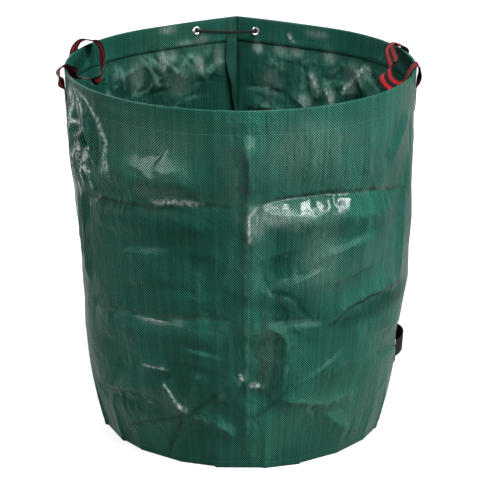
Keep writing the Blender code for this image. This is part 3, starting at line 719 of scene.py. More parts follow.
def finished(mesh: Mesh, places: Array | None = None, sharp: float | None = None) -> Mesh:
    """The same closed mesh with its flat places, its faces turned outwards and its hard edges.

    Args:
        mesh: A closed mesh.
        places: A flat place in metres for each point, for the weave to follow.
        sharp: Degrees between faces from which an edge is hard.

    Returns:
        The mesh.
    """
    if places is not None:
        layer = mesh.uv_layers.new(name="cloth")
        corners = np.zeros(len(mesh.loops), dtype=np.int32)
        mesh.loops.foreach_get("vertex_index", corners)
        layer.data.foreach_set("uv", places.reshape(-1, 2)[corners].astype(np.float32).ravel())
    work = bmesh.new()
    work.from_mesh(mesh)
    bmesh.ops.recalc_face_normals(work, faces=work.faces)
    work.to_mesh(mesh)
    work.free()
    if sharp is not None:
        mesh.set_sharp_from_angle(angle=math.radians(sharp))
    return mesh


def swept(name: str, rings: Array, places: Array | None = None, sharp: float | None = None) -> Mesh:
    """A closed body through rings of points, with a flat cap on each end.

    Args:
        name: The mesh's name.
        rings: Rings of points, all with the same number of points.
        places: A flat place in metres for each point.
        sharp: Degrees between faces from which an edge is hard.

    Returns:
        The mesh. Its two caps are its last faces.
    """
    rows, count = rings.shape[:2]
    faces = [list(face) for face in lofted(rows, count, False, True)]
    faces += [list(range(count)), [(rows - 1) * count + i for i in range(count)][::-1]]
    return finished(mesh_from(name, rings, faces), places, sharp)


def piece(name: str, mesh: Mesh, material: Material, body: str = "bag",
          replaces: tuple[str, ...] = ()) -> Thing:
    """An object of the bag that rides on a body.

    Args:
        name: The piece's name.
        mesh: Its mesh, in the frame of the bag.
        material: Its finish.
        body: The body that it moves with; an empty name leaves it on no body.
        replaces: The CAD nodes that it stands for.

    Returns:
        The object.
    """
    thing = bpy.data.objects.new(name, mesh)
    bpy.context.scene.collection.objects.link(thing)
    if not mesh.materials:
        mesh.materials.append(material)
    if body:
        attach(thing, body)
    if replaces:
        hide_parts(*replaces)
    log.info("%s: %d faces", name, len(mesh.polygons))
    return thing


def bored(mesh: Mesh, seats: list[EyeletSeat], radius: float, depth: float = 0.02) -> Mesh:
    """The same mesh with a round hole through it at each seat.

    Args:
        mesh: A closed mesh.
        seats: Middles and directions of the holes.
        radius: Radius of each hole.
        depth: Length of the drill to either side of a seat.

    Returns:
        A new mesh.
    """
    work = bmesh.new()
    for seat in seats:
        turn = Vector((0.0, 0.0, 1.0)).rotation_difference(Vector(seat.inward)).to_matrix().to_4x4()
        bmesh.ops.create_cone(work, cap_ends=True, segments=40, radius1=radius, radius2=radius, depth=2.0 * depth,
                              matrix=Matrix.Translation(Vector(seat.middle)) @ turn)
    drills = bpy.data.meshes.new("drills")
    work.to_mesh(drills)
    work.free()
    tool = bpy.data.objects.new("drills", drills)
    body = bpy.data.objects.new("bored", mesh)
    for thing in (tool, body):
        bpy.context.scene.collection.objects.link(thing)
    cut = body.modifiers.new("holes", "BOOLEAN")
    cut.operation, cut.solver, cut.object = "DIFFERENCE", "EXACT", tool
    cut.material_mode = "TRANSFER"
    made = bpy.data.meshes.new_from_object(body.evaluated_get(bpy.context.evaluated_depsgraph_get()))
    for thing in (tool, body):
        bpy.data.objects.remove(thing)
    return made


def tube(name: str, route: Array, radius: float | Array, sides: int) -> Mesh:
    """A closed tube along a route.

    Args:
        name: The mesh's name.
        route: Points along the middle line.
        radius: One radius, or one for each point.
        sides: Points round the tube.

    Returns:
        The mesh. Its flat places count once round as 1, and run along in metres.
    """
    tangents = unit(np.gradient(route, axis=0))
    reference = UP if abs(tangents[0][2]) < 0.9 else np.array([1.0, 0.0, 0.0])
    normals = []
    normal = unit(np.cross(tangents[0], reference))
    for tangent in tangents:
        normal = unit(normal - tangent * np.dot(normal, tangent))
        normals.append(normal)
    normals = np.array(normals)[:, None, :]
    sideways = np.cross(tangents[:, None, :], normals)
    angles = np.arange(sides) * FULL_TURN / sides
    cosines, sines = np.cos(angles)[None, :, None], np.sin(angles)[None, :, None]
    radii = np.broadcast_to(radius, (len(route),))[:, None, None]
    rings = route[:, None, :] + radii * (cosines * normals + sines * sideways)
    places = np.broadcast_arrays(angles[None, :] / FULL_TURN, walked_along(route)[:, None])
    return swept(name, rings, np.stack(places, axis=-1))


def smooth_line(points: Array, count: int) -> Array:
    """Evenly spaced values on a smooth curve through given ones.

    Args:
        points: The given values, each with x, y and z first.
        count: How many values to make.

    Returns:
        The new values.
    """
    padded = np.concatenate([[2.0 * points[0] - points[1]], points, [2.0 * points[-1] - points[-2]]])
    fine = []
    steps = 24
    for i in range(len(points) - 1):
        a, b, c, d = padded[i:i + 4]
        for t in np.arange(steps) / steps:
            fine.append(0.5 * (2.0 * b + (c - a) * t + (2.0 * a - 5.0 * b + 4.0 * c - d) * t ** 2
                               + (3.0 * b - a - 3.0 * c + d) * t ** 3))
    fine = np.array([*fine, points[-1]])
    walked = walked_along(fine[:, :3])
    wanted = np.linspace(0.0, walked[-1], count)
    return np.stack([np.interp(wanted, walked, column) for column in fine.T], axis=-1)


def stitches(route: Array, normals: Array) -> Mesh:
    """A row of sewn stitches that lie on a surface.

    Args:
        route: Points along the row, on the surface.
        normals: Directions away from the surface at these points.

    Returns:
        One mesh with every stitch as a small closed body.
    """
    walked = walked_along(route)
    starts = np.arange(0.0, walked[-1] - STITCH, STITCH + STITCH_GAP)
    shares = np.array([0.0, 0.25, 0.5, 0.75, 1.0])
    lifts = np.array([-0.25, 0.32, 0.42, 0.32, -0.25])
    girths = np.array([0.35, 0.9, 1.0, 0.9, 0.35])
    count = len(shares)
    angles = np.arange(count) * FULL_TURN / count
    wanted = (starts[:, None] + shares[None, :] * STITCH).ravel()
    middle, away = (np.stack([np.interp(wanted, walked, column) for column in values.T], axis=-1)
                    .reshape(-1, count, 3) for values in (route, normals))
    away = unit(away)
    middle = middle + away * (lifts * THREAD)[None, :, None]
    aside = unit(np.cross(unit(np.gradient(middle, axis=1)), away))
    ring = (np.cos(angles)[None, None, :, None] * away[:, :, None, :]
            + np.sin(angles)[None, None, :, None] * aside[:, :, None, :])
    points = middle[:, :, None, :] + ring * (girths * THREAD / 2.0)[None, :, None, None]
    block = [list(face) for face in lofted(count, count, False, True)] + [[4, 3, 2, 1, 0], [20, 21, 22, 23, 24]]
    faces = [[number + count * count * s for number in face] for s in range(len(starts)) for face in block]
    return finished(mesh_from("stitches", points, faces))


def joined(name: str, meshes: list[Mesh]) -> Mesh:
    """One smooth mesh that holds several.

    Args:
        name: The new mesh's name.
        meshes: The meshes that go into it.

    Returns:
        The new mesh.
    """
    work = bmesh.new()
    for mesh in meshes:
        work.from_mesh(mesh)
    whole = bpy.data.meshes.new(name)
    work.to_mesh(whole)
    work.free()
    whole.shade_smooth()
    return whole


def sewn(name: str, rows: list[tuple[Array, Array]], thread: Material) -> Thing:
    """A piece of thread with a row of stitches for each route and its outward directions."""
    return piece(name, joined(name, [stitches(*row) for row in rows]), thread)


def strap_mesh(name: str, near: Array, far: Array, across: Array, along: Array) -> Mesh:
    """Webbing between its two faces.

    Args:
        name: The mesh's name.
        near: Points of one face, a row across the strap for each step along it.
        far: Points of the other face.
        across: Metres from one edge of the strap to each point of a row.
        along: Metres from the strap's start to each row.

    Returns:
        The mesh.
    """
    rings = np.concatenate([near, far[:, ::-1, :]], axis=1)
    places = np.broadcast_arrays(np.concatenate([across, across[::-1]])[None, :], along[:, None])
    return swept(name, rings, np.stack(places, axis=-1), 60.0)


# Finishes


class Graph:
    """Builds a node tree with short calls."""

    def __init__(self, tree: Tree) -> None:
        """Keeps the tree that the nodes go into."""
        self.tree = tree

    def node(self, kind: str, settings: dict | None = None, **inputs: object) -> Node:
        """Adds a node and sets or links its inputs.

        Args:
            kind: The node's type, without its common beginning.
            settings: Properties of the node.
            **inputs: Values or sockets, by input name with underscores for spaces, or _N for input N.

        Returns:
            The new node.
        """
        made = self.tree.nodes.new("ShaderNode" + kind)
        for key, value in (settings or {}).items():
            setattr(made, key, value)
        for key, value in inputs.items():
            target = made.inputs[int(key[1:])] if key.startswith("_") else made.inputs[key.replace("_", " ")]
            if isinstance(value, Socket):
                self.tree.links.new(value, target)
            else:
                target.default_value = value
        return made

    def feed(self, node: Node, **values: Socket) -> None:
        """Links values to inputs of a node that is there already, underscores for spaces."""
        for label, value in values.items():
            self.tree.links.new(value, node.inputs[label.replace("_", " ")])

    def math(self, operation: str, a: object, b: object = 0.0, c: object = 0.0) -> Socket:
        """One sum of up to three values."""
        return self.node("Math", {"operation": operation}, _0=a, _1=b, _2=c).outputs[0]

    def times(self, a: object, b: object) -> Socket:
        """The product of two values."""
        return self.math("MULTIPLY", a, b)

    def mix(self, factor: object, a: object, b: object, blend: str = "MIX") -> Socket:
        """One colour mixed from two."""
        made = self.node("Mix", {"data_type": "RGBA", "blend_type": blend}, _0=factor, _6=a, _7=b)
        return made.outputs[2]

    def shaded(self, colour: object, shade: Socket) -> Socket:
        """A colour made darker or lighter by a value."""
        tint = self.node("CombineColor", None, Red=shade, Green=shade, Blue=shade).outputs[0]
        return self.mix(1.0, colour, tint, "MULTIPLY")

    def spread(self, value: object, low: float, high: float, to_low: float = 0.0,
               to_high: float = 1.0) -> Socket:
        """A value carried from one range to another and held there."""
        return self.node("MapRange", None, _0=value, _1=low, _2=high, _3=to_low, _4=to_high).outputs[0]

    def noise(self, place: object, scale: float, detail: float = 3.0, roughness: float = 0.55) -> Socket:
        """Cloudy noise from 0 to 1."""
        made = self.node("TexNoise", None, Vector=place, Scale=scale, Detail=detail, Roughness=roughness)
        return made.outputs[0]

    def stretched(self, place: object, scale: Point, rotation: Point = (0.0, 0.0, 0.0)) -> Socket:
        """A place turned, and stretched by a factor along each axis."""
        return self.node("Mapping", None, Vector=place, Scale=scale, Rotation=rotation).outputs[0]

    def attribute(self, name: str) -> Socket:
        """A value that the mesh holds for each point."""
        return self.node("Attribute", {"attribute_name": name}).outputs["Fac"]

    def flat_place(self) -> Socket:
        """The place on the cloth laid flat."""
        return self.node("UVMap", {"uv_map": "cloth"}).outputs[0]

    def place(self) -> Socket:
        """The place on the object."""
        return self.node("TexCoord").outputs["Object"]

    def split(self, place: Socket) -> list[Socket]:
        """The three numbers of a place."""
        return list(self.node("SeparateXYZ", None, _0=place).outputs)


def new_group(name: str, inputs: dict[str, float | None], outputs: tuple[str, ...]) -> tuple[Graph, Node, Node]:
    """An empty node group with its own sockets.

    Args:
        name: The group's name.
        inputs: First value of each input by its name, or None for a vector.
        outputs: Name of each output.

    Returns:
        Its graph, its input node and its output node.
    """
    group = bpy.data.node_groups.new(name, "ShaderNodeTree")
    for label, value in inputs.items():
        kind = "NodeSocketVector" if value is None else "NodeSocketFloat"
        made = group.interface.new_socket(name=label, in_out="INPUT", socket_type=kind)
        if value is not None:
            made.default_value = value
    for label in outputs:
        group.interface.new_socket(name=label, in_out="OUTPUT", socket_type="NodeSocketFloat")
    return Graph(group), group.nodes.new("NodeGroupInput"), group.nodes.new("NodeGroupOutput")


def weave_group() -> Tree:
    """Plain weave of flat tapes: which tape lies on top, its height, its own tone and the gaps.

    Returns:
        The node group.
    """
    g, source, sink = new_group("plain_tape_weave", {"Place": None, "Tape": 0.0024},
                                ("Height", "Over", "Tone", "Gap"))
    u, v = (g.math("DIVIDE", side, source.outputs["Tape"]) for side in g.split(source.outputs["Place"])[:2])
    cell_u, cell_v = g.math("FLOOR", u), g.math("FLOOR", v)
    over = g.math("FLOORED_MODULO", g.math("ADD", cell_u, cell_v), 2.0)
    under = g.math("SUBTRACT", 1.0, over)
    far_u, far_v = (g.math("ABSOLUTE", g.math("SUBTRACT", g.math("FRACT", way), 0.5)) for way in (u, v))
    heights = []
    for across, along in ((far_u, far_v), (far_v, far_u)):
        flat = g.math("SUBTRACT", 1.0, g.math("POWER", g.times(across, 2.0), 8.0))
        dome = g.math("MULTIPLY_ADD", g.times(along, along), -1.8, 1.0)
        heights.append(g.times(flat, dome))
    height = g.math("ADD", g.times(heights[0], over), g.times(heights[1], under))
    warp = g.node("TexWhiteNoise", {"noise_dimensions": "1D"}, W=cell_u).outputs[0]
    weft = g.node("TexWhiteNoise", {"noise_dimensions": "1D"}, W=g.math("ADD", cell_v, 700.0)).outputs[0]
    tone = g.math("ADD", g.times(warp, over), g.times(weft, under))
    gap = g.math("MAXIMUM", g.spread(far_u, 0.44, 0.5), g.spread(far_v, 0.44, 0.5))
    g.feed(sink, Height=height, Over=over, Tone=tone, Gap=gap)
    return g.tree


def crumple_group() -> Tree:
    """Small facets of plastic cloth that was folded and opened out again.

    Returns:
        The node group.
    """
    g, source, sink = new_group("crumpled_facets", {"Place": None, "Size": 22.0}, ("Height", "Cloud"))
    place, size = source.outputs["Place"], source.outputs["Size"]
    warp = g.node("TexNoise", None, Vector=place, Scale=9.0, Detail=2.0).outputs["Color"]
    bent = g.node("VectorMath", {"operation": "MULTIPLY_ADD"}, _0=warp, _1=(0.06, 0.06, 0.06), _2=place).outputs[0]
    facets = g.node("TexVoronoi", {"feature": "F1", "distance": "CHEBYCHEV"}, Vector=bent, Scale=size)
    fine = g.node("TexVoronoi", {"feature": "F1"}, Vector=bent, Scale=g.times(size, 2.6))
    folds = g.math("ABSOLUTE", g.math("SUBTRACT", g.noise(bent, 38.0, 2.0, 0.5), 0.5))
    height = g.math("MULTIPLY_ADD", fine.outputs["Distance"], 0.40, facets.outputs["Distance"])
    g.feed(sink, Height=g.math("MULTIPLY_ADD", folds, -1.1, height), Cloud=g.noise(place, 7.0, 4.0, 0.6))
    return g.tree


def wear_group() -> Tree:
    """Dust and rub marks: a soft mask and a scatter of fine scratches.

    Returns:
        The node group.
    """
    g, source, sink = new_group("dust_and_rub", {"Place": None, "Scale": 1.0}, ("Dust", "Scratch"))
    scaled = g.node("VectorMath", {"operation": "SCALE"}, _0=source.outputs["Place"],
                    Scale=source.outputs["Scale"]).outputs[0]
    scratched = g.stretched(scaled, (60.0, 60.0, 900.0), (0.5, 0.9, 0.2))
    g.feed(sink, Dust=g.spread(g.noise(scaled, 11.0, 6.0, 0.65), 0.50, 0.75),
           Scratch=g.spread(g.noise(scratched, 1.0, 2.0), 0.66, 0.74))
    return g.tree


@dataclass(frozen=True)
class Finish:
    """A finish with one shader whose plain values stand on its own sockets."""

    name: str
    roughness: float = 0.5
    metallic: float = 0.0
    coat: float = 0.0
    coat_roughness: float = 0.1
    gloss: float = 0.5

    def start(self) -> tuple[Material, Graph, Node]:
        """A new material with its graph and shader.

        Returns:
            The material, its graph and its Principled node.
        """
        material = bpy.data.materials.new(self.name)
        material.use_nodes = True
        shader = material.node_tree.nodes["Principled BSDF"]
        for socket, value in (("Roughness", self.roughness), ("Metallic", self.metallic),
                              ("Coat Weight", self.coat), ("Coat Roughness", self.coat_roughness),
                              ("Specular IOR Level", self.gloss)):
            shader.inputs[socket].default_value = value
        return material, Graph(material.node_tree), shader

    @staticmethod
    def bump(g: Graph, shader: Node, height: object, distance: float, strength: float = 1.0,
             **under: Socket) -> None:
        """Feeds a height to the shader's normal.

        Args:
            g: The material's graph.
            shader: Its shader.
            height: Height from 0 to 1.
            distance: Metres for a height of 1.
            strength: Share of the effect.
            **under: Normal, when the bump comes on top of another one.
        """
        made = g.node("Bump", None, Height=height, Distance=distance, Strength=strength, **under)
        g.feed(shader, Normal=made.outputs[0])


@dataclass(frozen=True)
class WovenCloth(Finish):
    """Green woven plastic cloth, laminated and glossy outside, plainer and silkier inside."""

    dark: Colour = (0.0070, 0.050, 0.036, 1.0)
    light: Colour = (0.0120, 0.078, 0.058, 1.0)
    yellow: Colour = (0.022, 0.088, 0.049, 1.0)
    whitened: Colour = (0.15, 0.31, 0.26, 1.0)
    pale: Colour = (0.70, 0.78, 0.74, 1.0)
    tape: float = 0.0024
    contrast: float = 2.05
    facets: float = 0.010
    whitening: float = 0.14
    lines: float = 0.0

    def tones(self, g: Graph, woven: Node, cloud: Socket, place: Socket, uv: Socket) -> Socket:
        """How light the cloth is at each place: its weave with the tapes' sheen painted as a checker, stripes of
        painted warp sheen, and painted shade.

        Args:
            g: The material's graph.
            woven: The weave.
            cloud: Slow variation over the cloth.
            place: The place on the object.
            uv: The place on the cloth laid flat.

        Returns:
            A factor for the cloth's colour.
        """
        # The checker of the tape on top against the one under it is painted sheen of the tapes, painted weaker lower
        # down.
        checker_sheen_fade = g.spread(g.split(place)[2], 0.10, 0.55, 0.75, 1.0)
        swing = g.times(g.times(checker_sheen_fade, g.spread(cloud, 0.35, 0.6, 0.6, 1.0)), self.contrast)
        checker_sheen = g.math("MULTIPLY_ADD", g.math("SUBTRACT", woven.outputs["Over"], 0.5), swing, 1.0)
        shade = g.times(checker_sheen, g.spread(woven.outputs["Tone"], 0.0, 1.0, 0.80, 1.20))
        shade = g.times(shade, g.spread(woven.outputs["Gap"], 0.0, 1.0, 1.0, 0.72))
        # Stripes along the warp tapes: painted sheen.
        if self.lines:
            streaks = g.noise(g.stretched(uv, (900.0, 6.0, 1.0)), 1.0, 2.0)
            shade = g.times(shade, g.spread(streaks, 0.3, 0.7, 1.0 - self.lines, 1.0 + self.lines))
        # Painted shade in patches and along folds darkens the colour.
        return g.times(shade, g.math("SUBTRACT", 1.0, g.attribute("dull")))

    def whitenings(self, g: Graph, colour: Socket, over: Socket, place: Socket, uv: Socket) -> Socket:
        """The colour with rubbed creases, whitened fold lines with painted glints, and patches of painted sheen.

        Args:
            g: The material's graph.
            colour: The cloth's colour.
            over: 1 where the upper tape lies on top.
            place: The place on the object.
            uv: The place on the cloth laid flat.

        Returns:
            The new colour.
        """
        # Creases whitened where the film was rubbed; the inside's stronger whitening also paints glints on its
        # creases.
        rubbed = g.times(g.attribute("crease"), g.spread(g.noise(place, 45.0, 3.0), 0.44, 0.60, 0.0, self.whitening))
        colour = g.mix(rubbed, colour, self.whitened)
        # Pale fold lines: whitened film with painted glints, brighter on the tape on top.
        pale = g.times(g.attribute("pale"), g.spread(g.noise(place, 130.0, 3.0, 0.6), 0.42, 0.58, 0.10, 1.0))
        colour = g.mix(g.times(pale, g.math("MULTIPLY_ADD", over, 0.55, 0.55)), colour, self.pale)
        # Painted sheen in patches, streaked along the cloth and strongest on the tape on top.
        drawn = g.spread(g.noise(g.stretched(uv, (330.0, 46.0, 1.0)), 1.0, 3.0, 0.6), 0.36, 0.64, 0.35, 1.2)
        sheen = g.times(g.times(g.attribute("sheen"), drawn), g.math("MULTIPLY_ADD", over, 1.0, 0.05))
        return g.mix(sheen, colour, self.pale)

    def build(self, weave: Tree, crumple: Tree) -> Material:
        """Makes the material.

        Args:
            weave: The group for the weave.
            crumple: The group for the crumpled facets.

        Returns:
            The material.
        """
        material, g, shader = self.start()
        uv, place = g.flat_place(), g.place()
        woven = g.node("Group", {"node_tree": weave}, Place=uv, Tape=self.tape)
        crumpled = g.node("Group", {"node_tree": crumple}, Place=g.stretched(place, (1.0, 1.0, 0.6)), Size=15.0)
        over, cloud = woven.outputs["Over"], crumpled.outputs["Cloud"]
        green = g.mix(g.spread(cloud, 0.32, 0.68), self.dark, self.light)
        green = g.mix(g.spread(g.noise(place, 3.1, 3.0, 0.5), 0.56, 0.72, 0.0, 0.55), green, self.yellow)
        colour = g.shaded(green, self.tones(g, woven, cloud, place, uv))
        g.feed(shader, Base_Color=self.whitenings(g, colour, over, place, uv))
        rough = g.math("MULTIPLY_ADD", g.noise(place, 19.0, 3.0), 0.16, self.roughness - 0.08)
        g.feed(shader, Roughness=g.math("MULTIPLY_ADD", g.math("SUBTRACT", 1.0, over), 0.16, rough))
        if self.coat:
            shine = g.times(g.attribute("film"), g.spread(g.noise(place, 21.0, 3.0, 0.6), 0.35, 0.65, 0.55, 1.3))
            film = g.math("MULTIPLY_ADD", over, self.coat * 1.7, self.coat * 0.12)
            g.feed(shader, Coat_Weight=g.times(film, shine))
        amount = g.math("MULTIPLY_ADD", g.attribute("worked"), 0.85, g.spread(cloud, 0.45, 0.70, 0.10, 0.40))
        height = g.times(crumpled.outputs["Height"], amount)
        low = g.node("Bump", None, Height=height, Distance=self.facets, Strength=1.0).outputs[0]
        self.bump(g, shader, woven.outputs["Height"], 0.00024, 0.9, Normal=low)
        return material


@dataclass(frozen=True)
class Webbing(Finish):
    """Striped woven strap: dark ground with two broad red stripes along it."""

    dark: Colour = (0.007, 0.009, 0.008, 1.0)
    red: Colour = (0.24, 0.012, 0.014, 1.0)
    dust: Colour = (0.30, 0.20, 0.19, 1.0)
    stripes: tuple[Place, ...] = ((0.13, 0.37), (0.59, 0.83))
    soft_edge: float = 0.0004
    rib: float = 0.0016

    def build(self, weave: Tree, wear: Tree) -> Material:
        """Makes the material.

        Args:
            weave: The group for the weave.
            wear: The group for dust and scratches.

        Returns:
            The material.
        """
        material, g, shader = self.start()
        uv = g.flat_place()
        woven = g.node("Group", {"node_tree": weave}, Place=uv, Tape=self.rib)
        across = g.split(uv)[0]
        red = 0.0
        for low, high in ((low * STRAP_WIDTH, high * STRAP_WIDTH) for low, high in self.stripes):
            inside = g.times(g.spread(across, low, low + self.soft_edge),
                             g.spread(across, high, high - self.soft_edge))
            red = g.math("MAXIMUM", red, inside)
        worn = g.node("Group", {"node_tree": wear}, Place=g.place(), Scale=4.0)
        shade = g.times(g.spread(woven.outputs["Tone"], 0.0, 1.0, 0.72, 1.25),
                        g.spread(woven.outputs["Gap"], 0.0, 1.0, 1.0, 0.45))
        colour = g.shaded(g.mix(red, self.dark, self.red), shade)
        g.feed(shader, Base_Color=g.mix(g.times(worn.outputs["Dust"], 0.05), colour, self.dust))
        self.bump(g, shader, woven.outputs["Height"], 0.00035)
        return material


@dataclass(frozen=True)
class PlainGrain(Finish):
    """Tape, thread, hoop or metal: one colour with grain, dust and rubbed places."""

    colour: Colour = (0.1, 0.1, 0.1, 1.0)
    worn: Colour = (0.3, 0.3, 0.3, 1.0)
    wear_share: float = 0.2
    grain: float = 900.0
    stretch: Point = (1.0, 1.0, 1.0)
    depth: float = 0.0001

    def build(self, wear: Tree) -> Material:
        """Makes the material.

        Args:
            wear: The group for dust and scratches.

        Returns:
            The material.
        """
        material, g, shader = self.start()
        place = g.place()
        grain = g.noise(g.stretched(place, self.stretch), self.grain, 3.0, 0.6)
        worn = g.node("Group", {"node_tree": wear}, Place=place, Scale=5.0)
        colour = g.mix(g.times(worn.outputs["Dust"], self.wear_share), self.colour, self.worn)
        g.feed(shader, Base_Color=g.shaded(colour, g.spread(grain, 0.25, 0.75, 0.80, 1.18)),
               Roughness=g.math("MULTIPLY_ADD", worn.outputs["Scratch"], 0.18, self.roughness))
        self.bump(g, shader, grain, self.depth)
        return material


@dataclass(frozen=True)
class BraidedCord(Finish):
    """Braided cord: slanting strands that cross, from the tube's own flat places."""

    colour: Colour = (0.0075, 0.0080, 0.0078, 1.0)
    strands: float = 8.0
    pitch: float = 0.0042

    def build(self) -> Material:
        """Makes the material.

        Returns:
            The material.
        """
        material, g, shader = self.start()
        uv = g.split(g.flat_place())
        around, along = g.times(uv[0], self.strands), g.math("DIVIDE", uv[1], self.pitch)
        ways = [g.math("PINGPONG", g.math(way, along, around), 0.5) for way in ("ADD", "SUBTRACT")]
        height = g.times(g.math("MAXIMUM", *ways), 2.0)
        # The braid's grooves are painted darker and its crests lighter: painted shade and highlight of its relief.
        g.feed(shader, Base_Color=g.shaded(self.colour, g.spread(height, 0.2, 1.0, 0.35, 1.5)))
        self.bump(g, shader, height, 0.0006)
        return material


class FinishSet:
    """Every finish of the bag, built once."""

    def __init__(self) -> None:
        """Builds the shared groups and the materials."""
        weave, crumple, wear = weave_group(), crumple_group(), wear_group()
        self.outer = WovenCloth(
            "laminated_cloth", roughness=0.34, gloss=0.02, coat=0.24, coat_roughness=0.12).build(weave, crumple)
        # The inside's stronger crease whitening paints glints on its creases as well as rubbed film.
        self.inner = WovenCloth(
            "cloth_inside", roughness=0.36, gloss=0.05, contrast=0.45, facets=0.008, whitening=0.40, lines=0.42,
            coat=0.05, coat_roughness=0.2, dark=(0.0060, 0.043, 0.031, 1.0), light=(0.0100, 0.068, 0.051, 1.0),
            yellow=(0.015, 0.070, 0.040, 1.0)).build(weave, crumple)
        self.base = WovenCloth(
            "base_cloth_finish", roughness=0.44, gloss=0.15, contrast=0.40, facets=0.012).build(weave, crumple)
        self.webbing = Webbing("striped_webbing", roughness=0.75, gloss=0.05).build(weave, wear)
        # The base strap's webbing: the striped webbing with its red stripes as dark as its ground.
        self.all_dark_webbing = Webbing("all_dark_webbing", roughness=0.75, gloss=0.05, red=Webbing.dark).build(weave, wear)
        self.tape = PlainGrain("binding_tape", roughness=0.66, gloss=0.06, colour=(0.006, 0.034, 0.025, 1.0),
                               worn=(0.02, 0.07, 0.055, 1.0), stretch=(1.0, 1.0, 0.25)).build(wear)
        self.thread = PlainGrain("sewing_thread", roughness=0.50, colour=(0.020, 0.095, 0.070, 1.0),
                                 worn=(0.06, 0.18, 0.14, 1.0), grain=2500.0).build(wear)
        self.dark_thread = PlainGrain("dark_thread", roughness=0.55, colour=(0.015, 0.015, 0.015, 1.0),
                                      worn=(0.06, 0.06, 0.06, 1.0), grain=2500.0).build(wear)
        self.hoop = PlainGrain("hoop_plastic", roughness=0.45, colour=(0.035, 0.036, 0.038, 1.0),
                               worn=(0.10, 0.10, 0.10, 1.0), grain=300.0, stretch=(0.2, 0.2, 3.0)).build(wear)
        self.metal = PlainGrain("eyelet_metal", roughness=0.24, metallic=1.0, colour=(0.80, 0.80, 0.78, 1.0),
                                worn=(0.55, 0.54, 0.50, 1.0), grain=1400.0, depth=0.00003).build(wear)
        self.cord = BraidedCord("cord_braid", roughness=0.70, gloss=0.10).build()


# Pieces


@dataclass
class WallCloth:
    """The wrapped panel: outer face, hem over the hoop, pocket and inner face."""

    sack: CreasedSack
    finishes: FinishSet
    columns: int = 420
    outer_rows: int = 180
    arc_rows: int = 8
    hoop_rows: int = 9
    edge: float = 0.00025

    def turns(self) -> Array:
        """Turns of the columns, closer together on the front.

        Returns:
            Radians from the back seam.
        """
        even = np.linspace(0.0, FULL_TURN, self.columns)
        margin = self.edge / self.sack.shape.rim
        return margin + (even + 0.30 * np.sin(even)) / FULL_TURN * (FULL_TURN - 2.0 * margin)

    def section(self) -> tuple[Array, Array, Array]:
        """The closed section of the cloth.

        Returns:
            Depth from the outer face, height and length along the cloth, one of each for each row.
        """
        crest = HEM_STACK / 2.0
        top, low = self.sack.shape.height - crest, self.sack.shape.height - HEM_DEPTH
        hoop_foot = top - HOOP_HEIGHT
        heights = np.linspace(0.0, top, self.outer_rows)

        def arc(radius: float) -> list[Place]:
            """Half round over the crest, from outside to inside."""
            angles = np.linspace(0.0, math.pi, self.arc_rows)
            return [(crest - radius * math.cos(a), top + radius * math.sin(a)) for a in angles]

        rows = [(0.0, h) for h in heights[:-1]] + arc(crest)
        rows += [(HEM_STACK, h) for h in np.linspace(top, hoop_foot, self.hoop_rows + 1)[1:]]
        rows += [(2.0 * CLOTH + GAP, low), (CLOTH + GAP, low)]
        rows += [(HEM_STACK - CLOTH, h) for h in np.linspace(hoop_foot, top, 7)[:-1]]
        rows += arc(crest - CLOTH)[::-1]
        rows += [(CLOTH, h) for h in np.linspace(top, low, 9)[1:-1]]
        inner = [h for i, h in enumerate(heights[::-1]) if h <= low and (h > 0.5 or i % 3 == 0)]
        rows += [(CLOTH, h) for h in inner if h > 0.0]
        rows = np.array([*rows, (CLOTH, 0.0)])
        is_inside = np.arange(len(rows)) >= len(rows) - len(inner) - 2
        return rows[:, 0], rows[:, 1], np.where(is_inside, rows[:, 1], walked_along(rows))

    def marks(self, turn: Array, height: Array) -> dict[str, Array]:
        """How glossy the film is at each place, with painted shade, painted sheen and whitened folds with painted
        glints.

        Args:
            turn: Places round the bag, a row for each column of the cloth.
            height: Heights over the floor.

        Returns:
            Values for each place, by the name of the mark.
        """
        dull = sum(patch.share(turn, height) for patch in DULL_SHADE_PATCHES)
        film = np.clip(PLAIN_SHINE + sum(patch.share(turn, height) for patch in SHINES), 0.0, None)
        film = film * np.clip(1.0 - 4.0 * dull, 0.1, 1.0)
        pale, dark = ([line.share(turn, height, self.sack.scale) for line in lines]
                      for lines in (WHITENED_GLINT_LINES, PAINTED_SHADE_LINES))
        # Painted shade from the patches and along the folds.
        dull = 1.0 - (1.0 - dull) * np.prod([1.0 - share for share in dark], axis=0)
        # Painted sheen in patches.
        sheen = np.max([patch.share(turn, height) for patch in PAINTED_SHEEN_PATCHES], axis=0)
        back = np.clip((np.cos(turn) - 0.2) / 0.3, 0.0, 1.0)
        faced = np.where(np.arange(turn.shape[1]) < self.outer_rows, 1.0 - back, back)
        return {"film": film, "pale": np.max(pale, axis=0) * faced, "sheen": sheen * faced, "dull": dull * faced}

    def build(self) -> Thing:
        """Makes the wall cloth with its eyelet holes.

        Returns:
            The piece.
        """
        insets, levels, walked = self.section()
        turn, level = np.meshgrid(self.turns(), levels, indexing="ij")
        capped = np.minimum(level, self.sack.shape.height)
        shift, crease, worked = self.sack.relief(turn, capped)
        points = self.sack.points(turn, level, np.broadcast_to(insets, turn.shape), shift)
        places = np.stack([turn * self.sack.scale, np.broadcast_to(walked, turn.shape)], axis=-1)
        mesh = swept("wall_cloth", points, places)
        for label, values in {"crease": crease, "worked": worked, **self.marks(turn, capped)}.items():
            attribute = mesh.attributes.new(label, "FLOAT", "POINT")
            attribute.data.foreach_set("value", values.ravel().astype(np.float32))
        mesh.materials.append(self.finishes.outer)
        mesh.materials.append(self.finishes.inner)
        first_inner = self.outer_rows + self.arc_rows + self.hoop_rows
        is_inner = (np.arange(len(mesh.polygons)) % len(levels) >= first_inner).astype(np.int32)
        is_inner[-2:] = 0
        mesh.polygons.foreach_set("material_index", is_inner)
        mesh = bored(mesh, eyelet_seats(self.sack), EYELET_HOLE)
        return piece("wall_cloth", mesh, self.finishes.outer, replaces=("wall_panel",))


